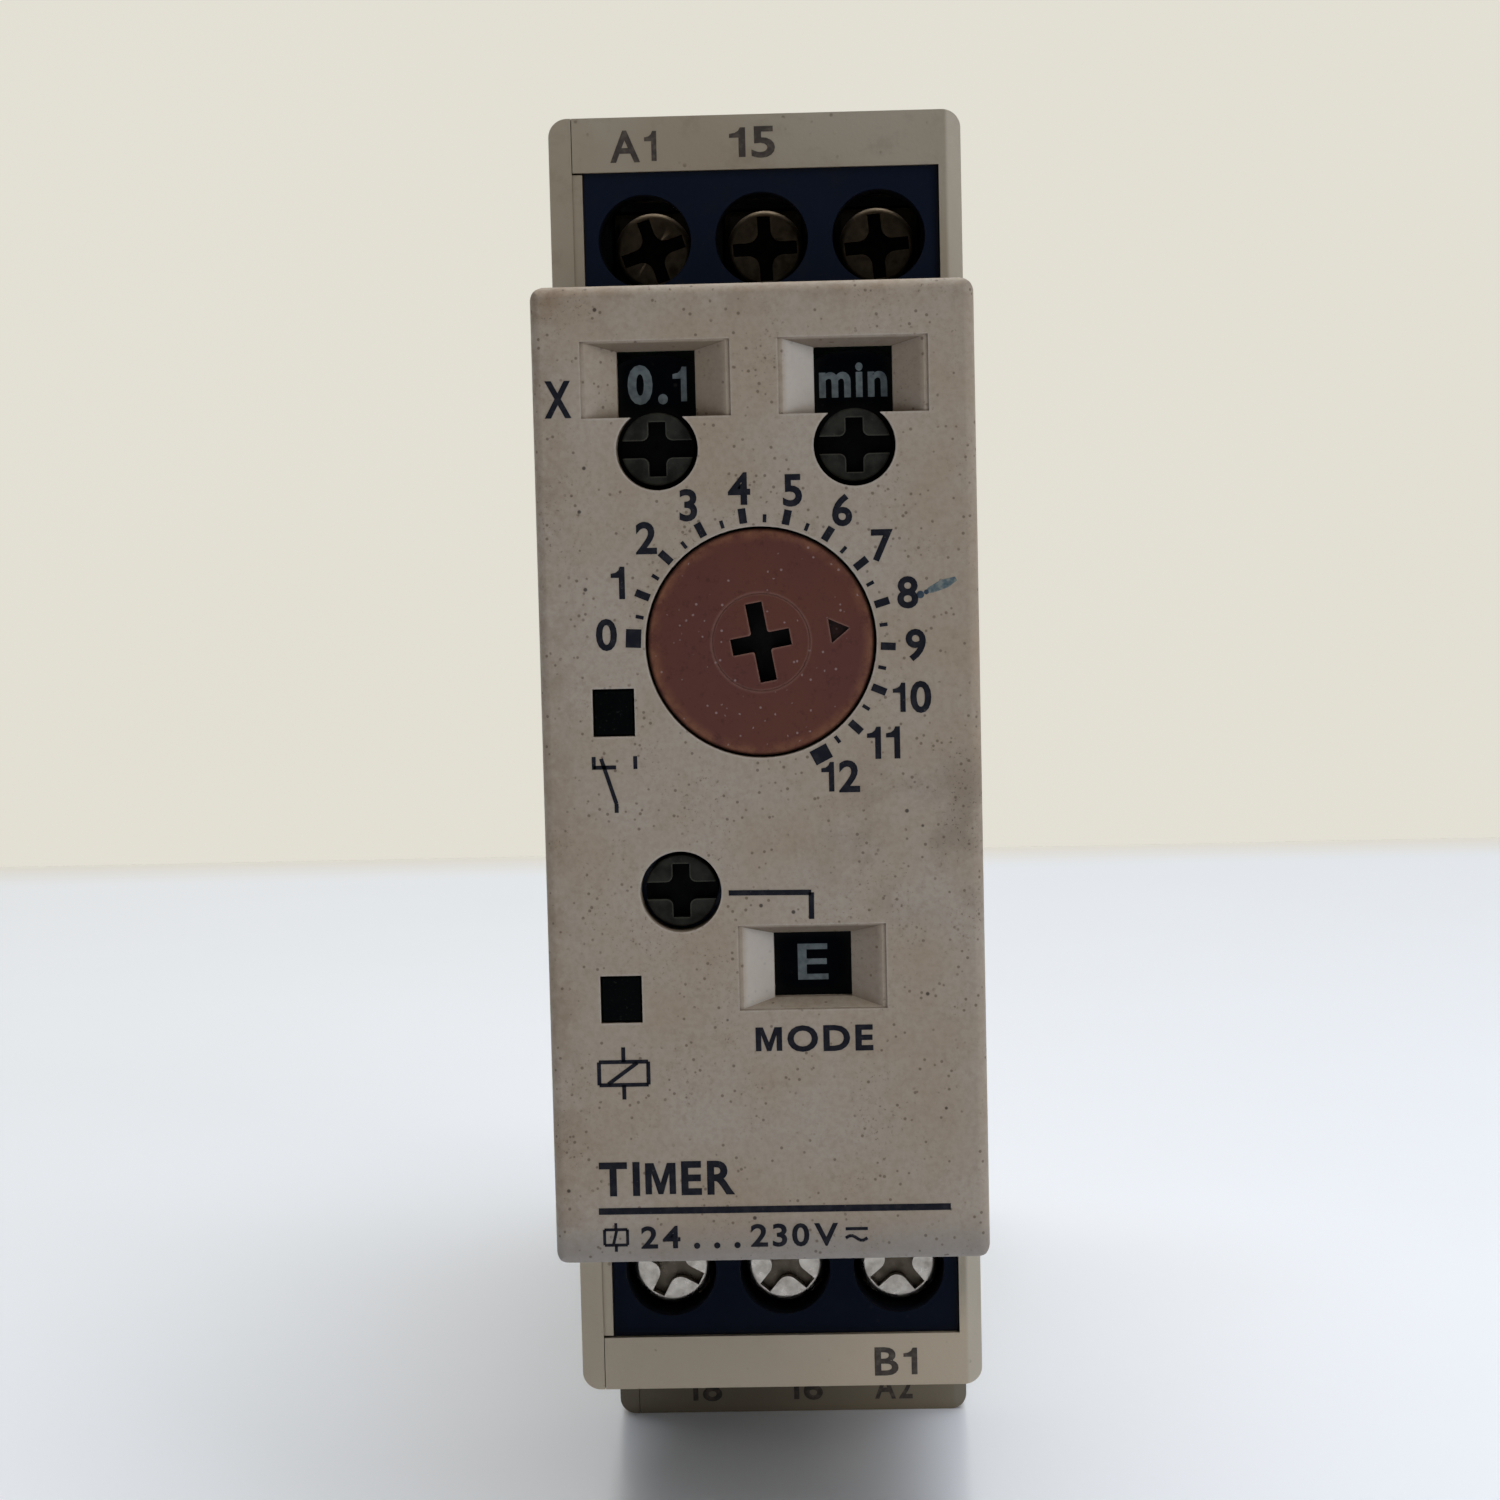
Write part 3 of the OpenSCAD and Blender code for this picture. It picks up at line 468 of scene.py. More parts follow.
def clear_finish():
    """Clear relay cover, slightly frosted."""
    f = Finish("clear_cover", 0.22, Alpha=0.45)
    f.colour(f.mix(f.span(f.noise(3 * MM, 3), 0.35, 0.7), (0.70, 0.72, 0.70), (0.60, 0.62, 0.60)))
    f.roughness(f.span(f.noise(1.2 * MM, 3), 0.3, 0.75, 0.16, 0.34))
    return f.material


def winding_finish():
    """Enamelled wire laid in turns."""
    f = Finish("winding_copper", 0.34, Metallic=0.7)
    wave = f.add("ShaderNodeTexWave", {"bands_direction": "Y"}, Vector=f.place, Scale=1 / (1.6 * MM))
    turns = wave.outputs["Fac"]
    f.colour(f.mix(turns, (0.20, 0.085, 0.035), (0.62, 0.32, 0.14)))
    f.roughness(f.span(f.noise(0.6 * MM, 3), 0.3, 0.7, 0.28, 0.45))
    f.bump(turns, 0.05 * MM)
    return f.material


def contact_finish():
    return plated_finish("contact_alloy", (0.72, 0.52, 0.28), (0.45, 0.31, 0.16))


def sleeve_finish():
    """Printed shrink sleeve of the capacitors, with a pale stripe."""
    f = Finish("capacitor_sleeve", 0.28)
    stripe = f.span(f.axis("Z"), 31.8 * MM, 32.2 * MM)
    base = f.mix(f.span(f.noise(2 * MM, 3), 0.35, 0.7), (0.030, 0.050, 0.13), (0.045, 0.065, 0.15))
    f.colour(f.mix(f.times(stripe, 0.4), base, (0.35, 0.38, 0.45)))
    f.bump(f.noise(0.6 * MM, 2), 0.01 * MM)
    return f.material


def ferrite_finish():
    f = Finish("ferrite", 0.66)
    f.colour(f.mix(f.span(f.noise(0.5 * MM, 5, 0.7), 0.4, 0.7), (0.055, 0.055, 0.06), (0.11, 0.11, 0.115)))
    f.bump(f.noise(0.18 * MM, 4, 0.7), 0.02 * MM)
    return f.material


FINISHES = {
    "case_plastic": case_finish(),
    "panel_plastic": panel_finish(),
    "block_plastic": block_finish(),
    "plated_steel": plated_finish(),
    # aged_steel: a darker, duller copy of the plating for the top-row screws, dirt together with painted shade of
    # their deep holes, nearly black in the recess
    "aged_steel": plated_finish("aged_steel", (0.17, 0.13, 0.085), (0.065, 0.048, 0.031), 0.52,
                                (0.012, 0.010, 0.008)),
    "blackened_steel": plated_finish("blackened_steel", (0.045, 0.038, 0.03), (0.02, 0.017, 0.014), 0.5),
    "tinned_copper": copper_finish(),
    "dial_plastic": dial_finish(),
    "knob_plastic": knob_finish(),
    "display_plastic": display_finish(),
    "switch_plastic": glossy_plastic("switch_plastic", (0.045, 0.10, 0.25), (0.065, 0.13, 0.29)),
    "lens_plastic": lens_finish(),
    "led_resin": led_finish(),
    "board_laminate": board_finish(),
    "dark_plastic": dark_finish(),
    "clear_cover": clear_finish(),
    "winding_copper": winding_finish(),
    "contact_alloy": contact_finish(),
    "capacitor_sleeve": sleeve_finish(),
    "ferrite": ferrite_finish(),
}
INK = ink_finish()
STRIP_INK = strip_ink_finish()
DISPLAY_INK = character_finish()
SLOT_OF = {part["node"]: part["material_slot"] for part in frame["record"]["subparts"]}
BODY_OF = {node: body for body, nodes in frame["record"]["behaviour"]["bodies"].items() for node in nodes}


# ---------------------------------------------------------------- mesh tools


def mark_depth(mesh, face_y):
    """Keeps on each point how far it lies behind the plane y = face_y."""
    layer = mesh.attributes.get("depth") or mesh.attributes.new("depth", "FLOAT", "POINT")
    for point, value in zip(mesh.vertices, layer.data):
        value.value = point.co.y - face_y


def new_piece(name, shape, body, material, smooth=True):
    """A bmesh made into a piece that rides on a CAD body."""
    mesh = bpy.data.meshes.new(name)
    bmesh.ops.recalc_face_normals(shape, faces=shape.faces)
    for face in shape.faces:
        face.smooth = smooth
    shape.to_mesh(mesh)
    shape.free()
    piece = bpy.data.objects.new(name, mesh)
    bpy.context.scene.collection.objects.link(piece)
    mesh.materials.append(material)
    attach(piece, body)
    return piece


def soften(piece, width, segments=2, angle=32):
    """Rounds the sharp edges of a piece."""
    bevel = piece.modifiers.new("rounded edges", "BEVEL")
    bevel.width = width
    bevel.segments = segments
    bevel.limit_method = "ANGLE"
    bevel.angle_limit = math.radians(angle)
    bevel.harden_normals = True
    bevel.use_clamp_overlap = True
    return piece


def apply_modifiers(piece):
    """Bakes a piece's modifiers into its mesh."""
    bpy.context.view_layer.update()
    graph = bpy.context.evaluated_depsgraph_get()
    mesh = bpy.data.meshes.new_from_object(piece.evaluated_get(graph))
    piece.modifiers.clear()
    piece.data = mesh
    return piece


def refined(node, width, segments=2, angle=32):
    """A CAD node's shape with welded, clean faces and rounded edges, standing in for the node."""
    shape = bmesh.new()
    shape.from_mesh(frame["nodes"][node].data)
    bmesh.ops.remove_doubles(shape, verts=shape.verts, dist=0.002 * MM)
    bmesh.ops.dissolve_limit(shape, angle_limit=math.radians(0.6), verts=shape.verts, edges=shape.edges)
    for edge in shape.edges:
        edge.smooth = True
    piece = new_piece(node + "_shell", shape, BODY_OF[node], FINISHES[SLOT_OF[node]])
    for layer in ("custom_normal", "sharp_edge", "sharp_face"):
        if layer in piece.data.attributes:
            piece.data.attributes.remove(piece.data.attributes[layer])
    soften(piece, width, segments, angle)
    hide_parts(node)
    return piece


def lathe(profile, at, steps=96):
    """A solid of revolution about a Y axis at (x, z). profile runs (radius, y) from axis to axis."""
    shape = bmesh.new()
    rings = []
    for radius, y in profile:
        if radius == 0:
            rings.append([shape.verts.new((at[0], y, at[1]))])
            continue
        turn = [2 * math.pi * k / steps for k in range(steps)]
        rings.append([shape.verts.new((at[0] + radius * math.cos(a), y, at[1] + radius * math.sin(a)))
                      for a in turn])
    for first, second in zip(rings, rings[1:]):
        for k in range(steps):
            j = (k + 1) % steps
            near = [first[k % len(first)], first[j % len(first)]]
            far = [second[j % len(second)], second[k % len(second)]]
            corners = near + far
            unique = list(dict.fromkeys(corners))
            if len(unique) > 2:
                shape.faces.new(unique)
    return shape


def prism(outline, y0, y1, at=(0, 0), turn=0.0):
    """A closed prism: outline of (x, z) turned by an angle about at, from y0 back to y1."""
    shape = bmesh.new()
    c = math.cos(turn)
    s = math.sin(turn)
    placed = [(at[0] + x * c - z * s, at[1] + x * s + z * c) for x, z in outline]
    front = [shape.verts.new((x, y0, z)) for x, z in placed]
    back = [shape.verts.new((x, y1, z)) for x, z in placed]
    shape.faces.new(front)
    shape.faces.new(list(reversed(back)))
    count = len(placed)
    for k in range(count):
        j = (k + 1) % count
        shape.faces.new([front[k], back[k], back[j], front[j]])
    return shape


def arc(middle, radius, start, end, steps=6):
    """Points on an arc, angles in degrees."""
    angles = [math.radians(start + (end - start) * k / steps) for k in range(steps + 1)]
    return [(middle[0] + radius * math.cos(a), middle[1] + radius * math.sin(a)) for a in angles]


def cross_outline(half_x, half_z, half_w, fillet):
    """A plus sign whose four inner corners are rounded outwards by fillet."""
    c = half_w + fillet
    points = []
    for quarter in range(4):
        reach = (half_x, half_z)[quarter % 2]
        local = [(reach, half_w)] + arc((c, c), fillet, 270, 180)
        turn = math.radians(90 * quarter)
        points += [(x * math.cos(turn) - z * math.sin(turn), x * math.sin(turn) + z * math.cos(turn))
                   for x, z in [(reach, -half_w)] + local]
    return points


def cut(piece, *cutters):
    """Takes closed shapes out of a piece."""
    for shape in cutters:
        mesh = bpy.data.meshes.new("cutter")
        bmesh.ops.recalc_face_normals(shape, faces=shape.faces)
        shape.to_mesh(mesh)
        shape.free()
        tool = bpy.data.objects.new("cutter", mesh)
        bpy.context.scene.collection.objects.link(tool)
        boolean = piece.modifiers.new("cut", "BOOLEAN")
        boolean.operation = "DIFFERENCE"
        boolean.solver = "EXACT"
        boolean.object = tool
        apply_modifiers(piece)
        bpy.data.objects.remove(tool)
        bpy.data.meshes.remove(mesh)
    return piece


def merged(*shapes):
    """Several bmeshes in one."""
    whole = bmesh.new()
    for shape in shapes:
        mesh = bpy.data.meshes.new("part")
        shape.to_mesh(mesh)
        shape.free()
        whole.from_mesh(mesh)
        bpy.data.meshes.remove(mesh)
    return whole


# ---------------------------------------------------------------- printing


def bar(start, end, width, y, thick=PRINT_T):
    """A printed line between two (x, z) points on the plane y."""
    dx = end[0] - start[0]
    dz = end[1] - start[1]
    length = math.hypot(dx, dz)
    outline = [(0, -width / 2), (length, -width / 2), (length, width / 2), (0, width / 2)]
    return prism(outline, y - thick, y + PRINT_SINK, start, math.atan2(dz, dx))


def spot(at, radius, y, steps=20):
    """A printed dot."""
    outline = [(radius * math.cos(2 * math.pi * k / steps), radius * math.sin(2 * math.pi * k / steps))
               for k in range(steps)]
    return prism(outline, y - PRINT_T, y + PRINT_SINK, at)


CAP_OUTLINES = {
    "1": [(0.25, 0), (0.43, 0), (0.43, 1), (0.29, 1), (0.24, 0.89), (0.15, 0.82), (0.0, 0.79), (0.0, 0.66),
          (0.25, 0.66)],
    "M": [(0, 0), (0, 1), (0.28, 1), (0.5, 0.36), (0.72, 1), (1, 1), (1, 0), (0.79, 0), (0.79, 0.68),
          (0.58, 0), (0.42, 0), (0.21, 0.68), (0.21, 0)],
}


def font_shape(text, weight):
    """Text in the built-in font at size 1, thickened by weight, as a closed slab from z -0.5 to 0.5."""
    curve = bpy.data.curves.new("letters", "FONT")
    curve.body = text
    curve.extrude = 0.5
    curve.offset = weight
    curve.resolution_u = 4
    source = bpy.data.objects.new("letters", curve)
    bpy.context.scene.collection.objects.link(source)
    bpy.context.view_layer.update()
    mesh = bpy.data.meshes.new_from_object(source.evaluated_get(bpy.context.evaluated_depsgraph_get()))
    bpy.data.objects.remove(source)
    bpy.data.curves.remove(curve)
    shape = bmesh.new()
    shape.from_mesh(mesh)
    bpy.data.meshes.remove(mesh)
    bmesh.ops.remove_doubles(shape, verts=shape.verts, dist=1e-5)
    return shape


def spread(shape):
    """Lowest and highest corner of a shape's points."""
    columns = list(zip(*[v.co for v in shape.verts]))
    return [min(c) for c in columns], [max(c) for c in columns]


def cap_height():
    shape = font_shape("H", 0)
    low, high = spread(shape)
    shape.free()
    return high[1] - low[1]


CAP = cap_height()
LETTER_GAP = 0.16


def glyph(character, weight):
    """One character on the base line, its left edge at x 0."""
    if character in CAP_OUTLINES:
        shape = bmesh.new()
        outline = [(x * CAP, y * CAP) for x, y in CAP_OUTLINES[character]]
        back = [shape.verts.new((x, y, -0.5)) for x, y in outline]
        front = [shape.verts.new((x, y, 0.5)) for x, y in outline]
        shape.faces.new(front)
        shape.faces.new(list(reversed(back)))
        for k in range(len(outline)):
            j = (k + 1) % len(outline)
            shape.faces.new([back[k], back[j], front[j], front[k]])
        return shape
    shape = font_shape(character, weight)
    bmesh.ops.translate(shape, verts=shape.verts, vec=(-spread(shape)[0][0], 0, 0))
    return shape


def letters(text, at, size, y, weight=0.0, turn=0.0, thick=PRINT_T, gap=LETTER_GAP):
    """Printed characters of size (width, height) centred on at (x, z); a width of None keeps the font's."""
    shapes = []
    reach = 0
    for character in text:
        shape = glyph(character, weight)
        bmesh.ops.translate(shape, verts=shape.verts, vec=(reach, 0, 0))
        reach = spread(shape)[1][0] + gap * CAP
        shapes.append(shape)
    shape = merged(*shapes)
    low, high = spread(shape)
    tall = size[1] / (high[1] - low[1])
    wide = size[0] / (high[0] - low[0]) if size[0] else tall
    middle = ((low[0] + high[0]) / 2, (low[1] + high[1]) / 2)
    c = math.cos(turn)
    s = math.sin(turn)
    for v in shape.verts:
        x = (v.co.x - middle[0]) * wide
        z = (v.co.y - middle[1]) * tall
        depth = y - thick if v.co.z > 0 else y + PRINT_SINK
        v.co = (at[0] + x * c - z * s, depth, at[1] + x * s + z * c)
    return shape


def mm(*values):
    return tuple(v * MM for v in values)


def polar(at, radius, degrees):
    angle = math.radians(degrees)
    return (at[0] + radius * math.cos(angle), at[1] + radius * math.sin(angle))


SCALE_STEP = 20
SCALE_START = 177


def scale_marks(y):
    """Numbers 0 to 12 round the dial, with a tick at each and a short one between."""
    marks = []
    for n in range(13):
        angle = SCALE_START - SCALE_STEP * n
        x, z = polar(DIAL_AT, 7.75 * MM, 176 - 19.8 * n)
        aside = 0.35 * (x - DIAL_AT[0]) / 7.75 if n > 9 else 0
        marks.append(letters(str(n), (x + aside, z), (None, 1.62 * MM), y, 0.026))
        ends = (6.0, 6.77, 0.93) if n in (0, 12) else (6.0, 6.75, 0.38)
        inner = polar(DIAL_AT, ends[0] * MM, angle)
        outer = polar(DIAL_AT, ends[1] * MM, angle)
        marks.append(bar(inner, outer, ends[2] * MM, y))
        if n < 12:
            middle = angle - SCALE_STEP / 2
            inner = polar(DIAL_AT, 6.0 * MM, middle)
            outer = polar(DIAL_AT, 6.4 * MM, middle)
            marks.append(bar(inner, outer, 0.18 * MM, y))
    return marks


def path(points, width, y):
    """Joined printed lines."""
    placed = [mm(*p) for p in points]
    return [bar(a, b, width * MM, y) for a, b in zip(placed, placed[1:])]


def contact_symbol(y):
    """Relay contact sign beside the upper lamp."""
    fixed = path([(-8.46, 45.27), (-7.32, 45.27)], 0.2, y) + path([(-8.44, 45.17), (-8.44, 45.82)], 0.2, y)
    arm = path([(-8.07, 45.72), (-7.35, 43.43), (-7.35, 42.97)], 0.2, y)
    return fixed + path([(-6.35, 45.17), (-6.35, 45.82)], 0.2, y) + arm


def coil_symbol(low, high, lead, stroke, y):
    """Relay coil sign: a box with a stroke across it and a lead above and below."""
    x0, z0 = low
    x1, z1 = high
    middle = (x0 + x1) / 2
    box = path([(x0, z0), (x1, z0), (x1, z1), (x0, z1), (x0, z0)], stroke, y)
    slash = path([(x0 + 0.45, z0 + 0.05), (x1 - 0.55, z1 - 0.05)], stroke, y)
    upper = path([(middle, z1), (middle, z1 + lead)], stroke, y)
    lower = path([(middle, z0), (middle, z0 - lead)], stroke, y)
    return box + slash + upper + lower


def panel_printing():
    y = PANEL_Y
    parts = scale_marks(y)
    parts.append(letters("X", mm(-9.75, 63.72), mm(1.34, 1.85), y, 0.03))
    parts.append(letters("MODE", mm(2.35, 31.31), mm(5.94, 1.36), y, 0.032, gap=0.2))
    parts += path([(-1.81, 38.8), (2.35, 38.75), (2.34, 37.4)], 0.27, y)
    parts += contact_symbol(y)
    parts += coil_symbol((-8.6, 29.1), (-6.1, 30.28), 0.75, 0.2, y)
    parts.append(letters("TIMER", mm(-5.3, 24.25), mm(6.9, 1.75), y, 0.03, gap=0.18))
    parts += path([(-8.81, 22.6), (9.08, 22.56)], 0.34, y)
    parts += coil_symbol((-8.55, 20.85), (-7.38, 21.65), 0.34, 0.15, y)
    parts.append(letters("24", mm(-5.69, 21.22), mm(2.0, 1.16), y, 0.022, gap=0.2))
    parts += [spot(mm(x, 20.75), 0.16 * MM, y) for x in (-3.85, -2.82, -1.79)]
    parts.append(letters("230V", mm(1.12, 21.23), mm(4.45, 1.2), y, 0.022, gap=0.2))
    wave = [(3.72 + 1.1 * k / 8, 21.02 + 0.13 * math.sin(2 * math.pi * k / 8)) for k in range(9)]
    parts += path([(3.72, 21.5), (4.85, 21.5)], 0.16, y) + path(wave, 0.16, y)
    return new_piece("panel_printing", merged(*parts), "case", INK, smooth=False)


def strip_labels():
    """Terminal marks on the strips above and below the terminals."""
    front = CORNERS["terminal_block_top"][0].y - 0.35 * MM
    rear = CORNERS["terminal_block_rear"][0].y - 0.35 * MM
    parts = [
        letters("A1", mm(-6.5, 77.45), mm(2.5, 1.7), front, 0.02),
        letters("15", mm(-0.11, 77.51), mm(2.45, 1.68), front, 0.02),
        letters("B1", mm(6.3, 10.74), mm(2.35, 1.59), front, 0.02),
        letters("18", mm(-5.68, 1.5), mm(2.3, 1.6), rear, 0.02),
        letters("16", mm(0.76, 1.5), mm(2.3, 1.6), rear, 0.02),
        letters("A2", mm(6.43, 1.5), mm(2.4, 1.6), rear, 0.02),
    ]
    return new_piece("strip_labels", merged(*parts), "case", STRIP_INK, smooth=False)


def display_characters(name, body, at, reach, y, characters, weight=0.03):
    """Characters on a display disc: each (text, size, degrees counter-clockwise from the top)."""
    parts = []
    for text, size, degrees in characters:
        place = polar(at, reach, 90 + degrees)
        parts.append(letters(text, place, size, y, weight, math.radians(degrees)))
    return new_piece(name, merged(*parts), body, DISPLAY_INK, smooth=False)


def pen_mark():
    """A slip of a blue pen beside the number 8."""
    y = PANEL_Y
    thin = pen_finish("pen_ink", (0.05, 0.09, 0.11), (0.19, 0.21, 0.19))
    thick = pen_finish("pen_ink_dark", (0.008, 0.022, 0.045), (0.03, 0.055, 0.08))
    dots = [spot(mm(8.12, 53.62), 0.19 * MM, y), spot(mm(8.42, 53.74), 0.12 * MM, y)]
    new_piece("pen_dots", merged(*dots), "case", thick, smooth=False)
    outline = [mm(0, -0.1), mm(0.5, -0.24), mm(1.3, -0.26), mm(1.85, -0.1), mm(1.8, 0.12), mm(1.1, 0.22),
               mm(0.4, 0.1)]
    streak = prism(outline, y - PRINT_T * 0.7, y + PRINT_SINK, mm(8.2, 53.75), math.radians(20))
    return new_piece("pen_mark", streak, "case", thin, smooth=False)


# ---------------------------------------------------------------- pieces


def shells():
    """Case, panel, terminal blocks and the parts behind them, with rounded edges."""
    widths = {
        "front_panel": 0.14, "main_case": 0.1, "side_cover": 0.1, "terminal_block_top": 0.12,
        "terminal_block_front": 0.12, "terminal_block_rear": 0.12, "output_lens": 0.12, "power_lens": 0.12,
        "multiplier_display": 0.04, "unit_display": 0.04, "mode_display": 0.03, "rail_lock": 0.12,
        "relay_cover": 0.25, "relay_base": 0.12, "relay_core": 0.08, "relay_armature": 0.08,
        "board_header": 0.1, "controller_chip": 0.06, "transformer_core": 0.2, "transformer_coil": 0.4,
        "relay_coil": 0.1, "capacitor_main": 0.5, "capacitors_small": 0.3, "dial_potentiometer": 0.15,
        "multiplier_switch": 0.15, "unit_switch": 0.15, "mode_switch": 0.15, "front_board": 0.05,
        "main_board": 0.05, "output_led": 0.15, "power_led": 0.15, "terminal_plates": 0.08,
        "relay_contact_spring": 0.04, "relay_fixed_contact": 0.04, "dial_shaft": 0.12,
        "display_spindle": 0.1, "lead_wires": 0.05}
    for node, width in widths.items():
        shell = refined(node, width * MM, angle=20 if node == "front_panel" else 32)
        if node == "front_panel" or node.startswith("terminal_block"):
            mark_depth(shell.data, PANEL_Y if node == "front_panel" else CORNERS[node][0].y)


def dial():
    """The time dial: a low disc with a groove ring, a cross slot and a triangle pointer."""
    low, high = CORNERS["time_dial"]
    face = low.y
    back = high.y
    rim = 0.22 * MM
    edge = [(DIAL_R - rim + rim * math.sin(a), face + rim - rim * math.cos(a))
            for a in [math.radians(15 * k) for k in range(7)]]
    flange = face + 1.75 * MM
    hub = 2.6 * MM
    bore = 1.55 * MM
    bore_end = flange + 0.1 * MM
    groove = 2.44 * MM
    groove_half = 0.06 * MM
    profile = [(0, face), (groove - groove_half, face), (groove, face + 0.05 * MM),
               (groove + groove_half, face)]
    profile += edge + [(DIAL_R, flange), (hub, flange), (hub, back), (bore, back),
                       (bore, bore_end), (0, bore_end)]
    shape = lathe(profile, DIAL_AT, 128)
    piece = new_piece("dial_cap", shape, "dial", FINISHES["dial_plastic"])
    slot = prism(cross_outline(1.5 * MM, 2.0 * MM, 0.42 * MM, 0.12 * MM), face - MM, face + 1.6 * MM,
                 DIAL_AT, math.radians(10))
    pointer = prism([mm(4.5, 0), mm(3.5, 0.62), mm(3.5, -0.62)], face - MM, face + 0.25 * MM,
                    DIAL_AT, math.radians(8))
    cut(piece, slot, pointer)
    mark_depth(piece.data, face)
    soften(piece, 0.06 * MM, 2)
    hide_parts("time_dial")
    return piece


def selector(node, body, disc):
    """A selector: a round knob sunk in the panel with a wide cross slot, on a shaft to its switch."""
    low, high = CORNERS[node]
    at = knob_axis(disc)
    face = low.y
    disc_back = CORNERS["multiplier_display"][1].y
    rim = 0.12 * MM
    radius = 1.82 * MM
    edge = [(radius - rim + rim * math.sin(a), face + rim - rim * math.cos(a))
            for a in [math.radians(18 * k) for k in range(6)]]
    profile = [(0, face)] + edge + [(radius, disc_back), (MM, disc_back), (MM, high.y), (0, high.y)]
    shape = lathe(profile, at, 72)
    piece = new_piece(node + "_knob", shape, body, FINISHES["knob_plastic"])
    slot = prism(cross_outline(2.2 * MM, 1.36 * MM, 0.43 * MM, 0.34 * MM), face - MM, face + 0.85 * MM, at)
    cut(piece, slot)
    mark_depth(piece.data, face)
    soften(piece, 0.05 * MM, 2)
    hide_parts(node)
    return piece


def knob_axis(node):
    """Axis of a selector: the middle of its joint's place in the record."""
    for joint in frame["joints"]:
        if joint["name"] == node:
            return (joint["pos_m"][0], joint["pos_m"][2])
    raise ValueError(node)


def terminal_screw(node):
    """A pan-headed screw with a deep cross recess between four rounded petals, and a thread."""
    low, high = CORNERS[node]
    at = ((low.x + high.x) / 2, (low.z + high.z) / 2)
    radius = (high.x - low.x) / 2
    face = low.y
    rim = 0.3 * MM
    edge = [(radius - rim + rim * math.sin(a), face + rim - rim * math.cos(a))
            for a in [math.radians(15 * k) for k in range(7)]]
    shank = 1.5 * MM
    root = 1.2 * MM
    head = face + 2 * MM
    pitch = 0.5 * MM
    turns = int((high.y - head - 1.2 * MM) / pitch)
    profile = [(0, face + 0.12 * MM), (0.8 * MM, face + 0.06 * MM)] + edge + [(radius, head), (shank, head)]
    start = head + 0.6 * MM
    for k in range(turns):
        profile += [(shank, start + k * pitch), (root, start + (k + 0.5) * pitch)]
    profile += [(shank, start + turns * pitch), (root, high.y), (0, high.y)]
    slot_name = SLOT_OF[node]
    piece = new_piece(node + "_body", lathe(profile, at, 48), BODY_OF[node], FINISHES[slot_name])
    slot = prism(cross_outline(1.8 * MM, 1.8 * MM, 0.36 * MM, 0.62 * MM), face - MM, face + 0.85 * MM, at,
                 math.radians(SCREW_TURNS[node]))
    cut(piece, slot)
    mark_depth(piece.data, face)
    soften(piece, 0.09 * MM, 3)
    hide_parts(node)
    return piece


ROW_TURNS = {"top": (18, 2, 5), "front": (63, 50, 40), "rear": (12, 30, 51)}
SCREW_TURNS = {f"screw_{row}_{k + 1}": turns[k] for row, turns in ROW_TURNS.items() for k in range(3)}


def lock_spring():
    """The wire of the rail lock's compression spring."""
    low, high = CORNERS["lock_spring"]
    middle = (low + high) / 2
    wire = 0.2 * MM
    coil = (high.x - low.x) / 2 - wire
    turns = 7
    steps = 24 * turns
    sides = 8
    bottom = low.z + wire
    rise = high.z - low.z - 2 * wire
    shape = bmesh.new()
    rings = []
    for k in range(steps + 1):
        share = k / steps
        flat = min(1, max(0, (share - 0.1) / 0.8))
        a = 2 * math.pi * turns * share
        out = Vector((math.cos(a), math.sin(a), 0))
        place = Vector((middle.x, middle.y, bottom + rise * flat)) + out * coil
        rings.append([shape.verts.new(place + (out * math.cos(b) + Vector((0, 0, math.sin(b)))) * wire)
                      for b in [2 * math.pi * j / sides for j in range(sides)]])
    for first, second in zip(rings, rings[1:]):
        for j in range(sides):
            i = (j + 1) % sides
            shape.faces.new([first[j], first[i], second[i], second[j]])
    shape.faces.new(rings[0])
    shape.faces.new(list(reversed(rings[-1])))
    piece = new_piece("lock_spring_wire", shape, "case", FINISHES["plated_steel"])
    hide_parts("lock_spring")
    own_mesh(piece)
    return piece


def displays():
    """Characters on the three display discs."""
    disc_y = CORNERS["multiplier_display"][0].y
    reach = 3.25 * MM
    display_characters("multiplier_characters", "multiplier", knob_axis("multiplier_turn"), reach, disc_y, [
        ("0.1", mm(2.98, 2.0), 0), ("1", mm(1.0, 1.9), 90), ("10", mm(2.5, 1.9), 180),
        ("100", mm(3.1, 1.5), 270)], 0.042)
    display_characters("unit_characters", "unit", knob_axis("unit_turn"), reach, disc_y, [
        ("min", mm(3.42, 1.73), 0), ("h", mm(1.3, 1.9), 90), ("10h", mm(3.1, 1.6), 180),
        ("s", mm(1.3, 1.4), 270)])
    letters_of_mode = [(text, mm(1.55, 1.85), 45 * k) for k, text in enumerate("EDCBA")]
    display_characters("mode_characters", "mode_disc", knob_axis("mode_display_turn"), 3.91 * MM, disc_y,
                       letters_of_mode, 0.012)


def carried_over():
    """CAD nodes that are still shown get their slot's finish."""
    for node, piece in frame["nodes"].items():
        piece.data.materials.clear()
        piece.data.materials.append(FINISHES[SLOT_OF[node]])


carried_over()
shells()
dial()
selector("multiplier_selector", "multiplier", "multiplier_turn")
selector("unit_selector", "unit", "unit_turn")
selector("mode_selector", "mode", "mode_turn")
for screw in SCREW_TURNS:
    terminal_screw(screw)
lock_spring()
panel_printing()
strip_labels()
pen_mark()
displays()


# ---------------------------------------------------------------- stage


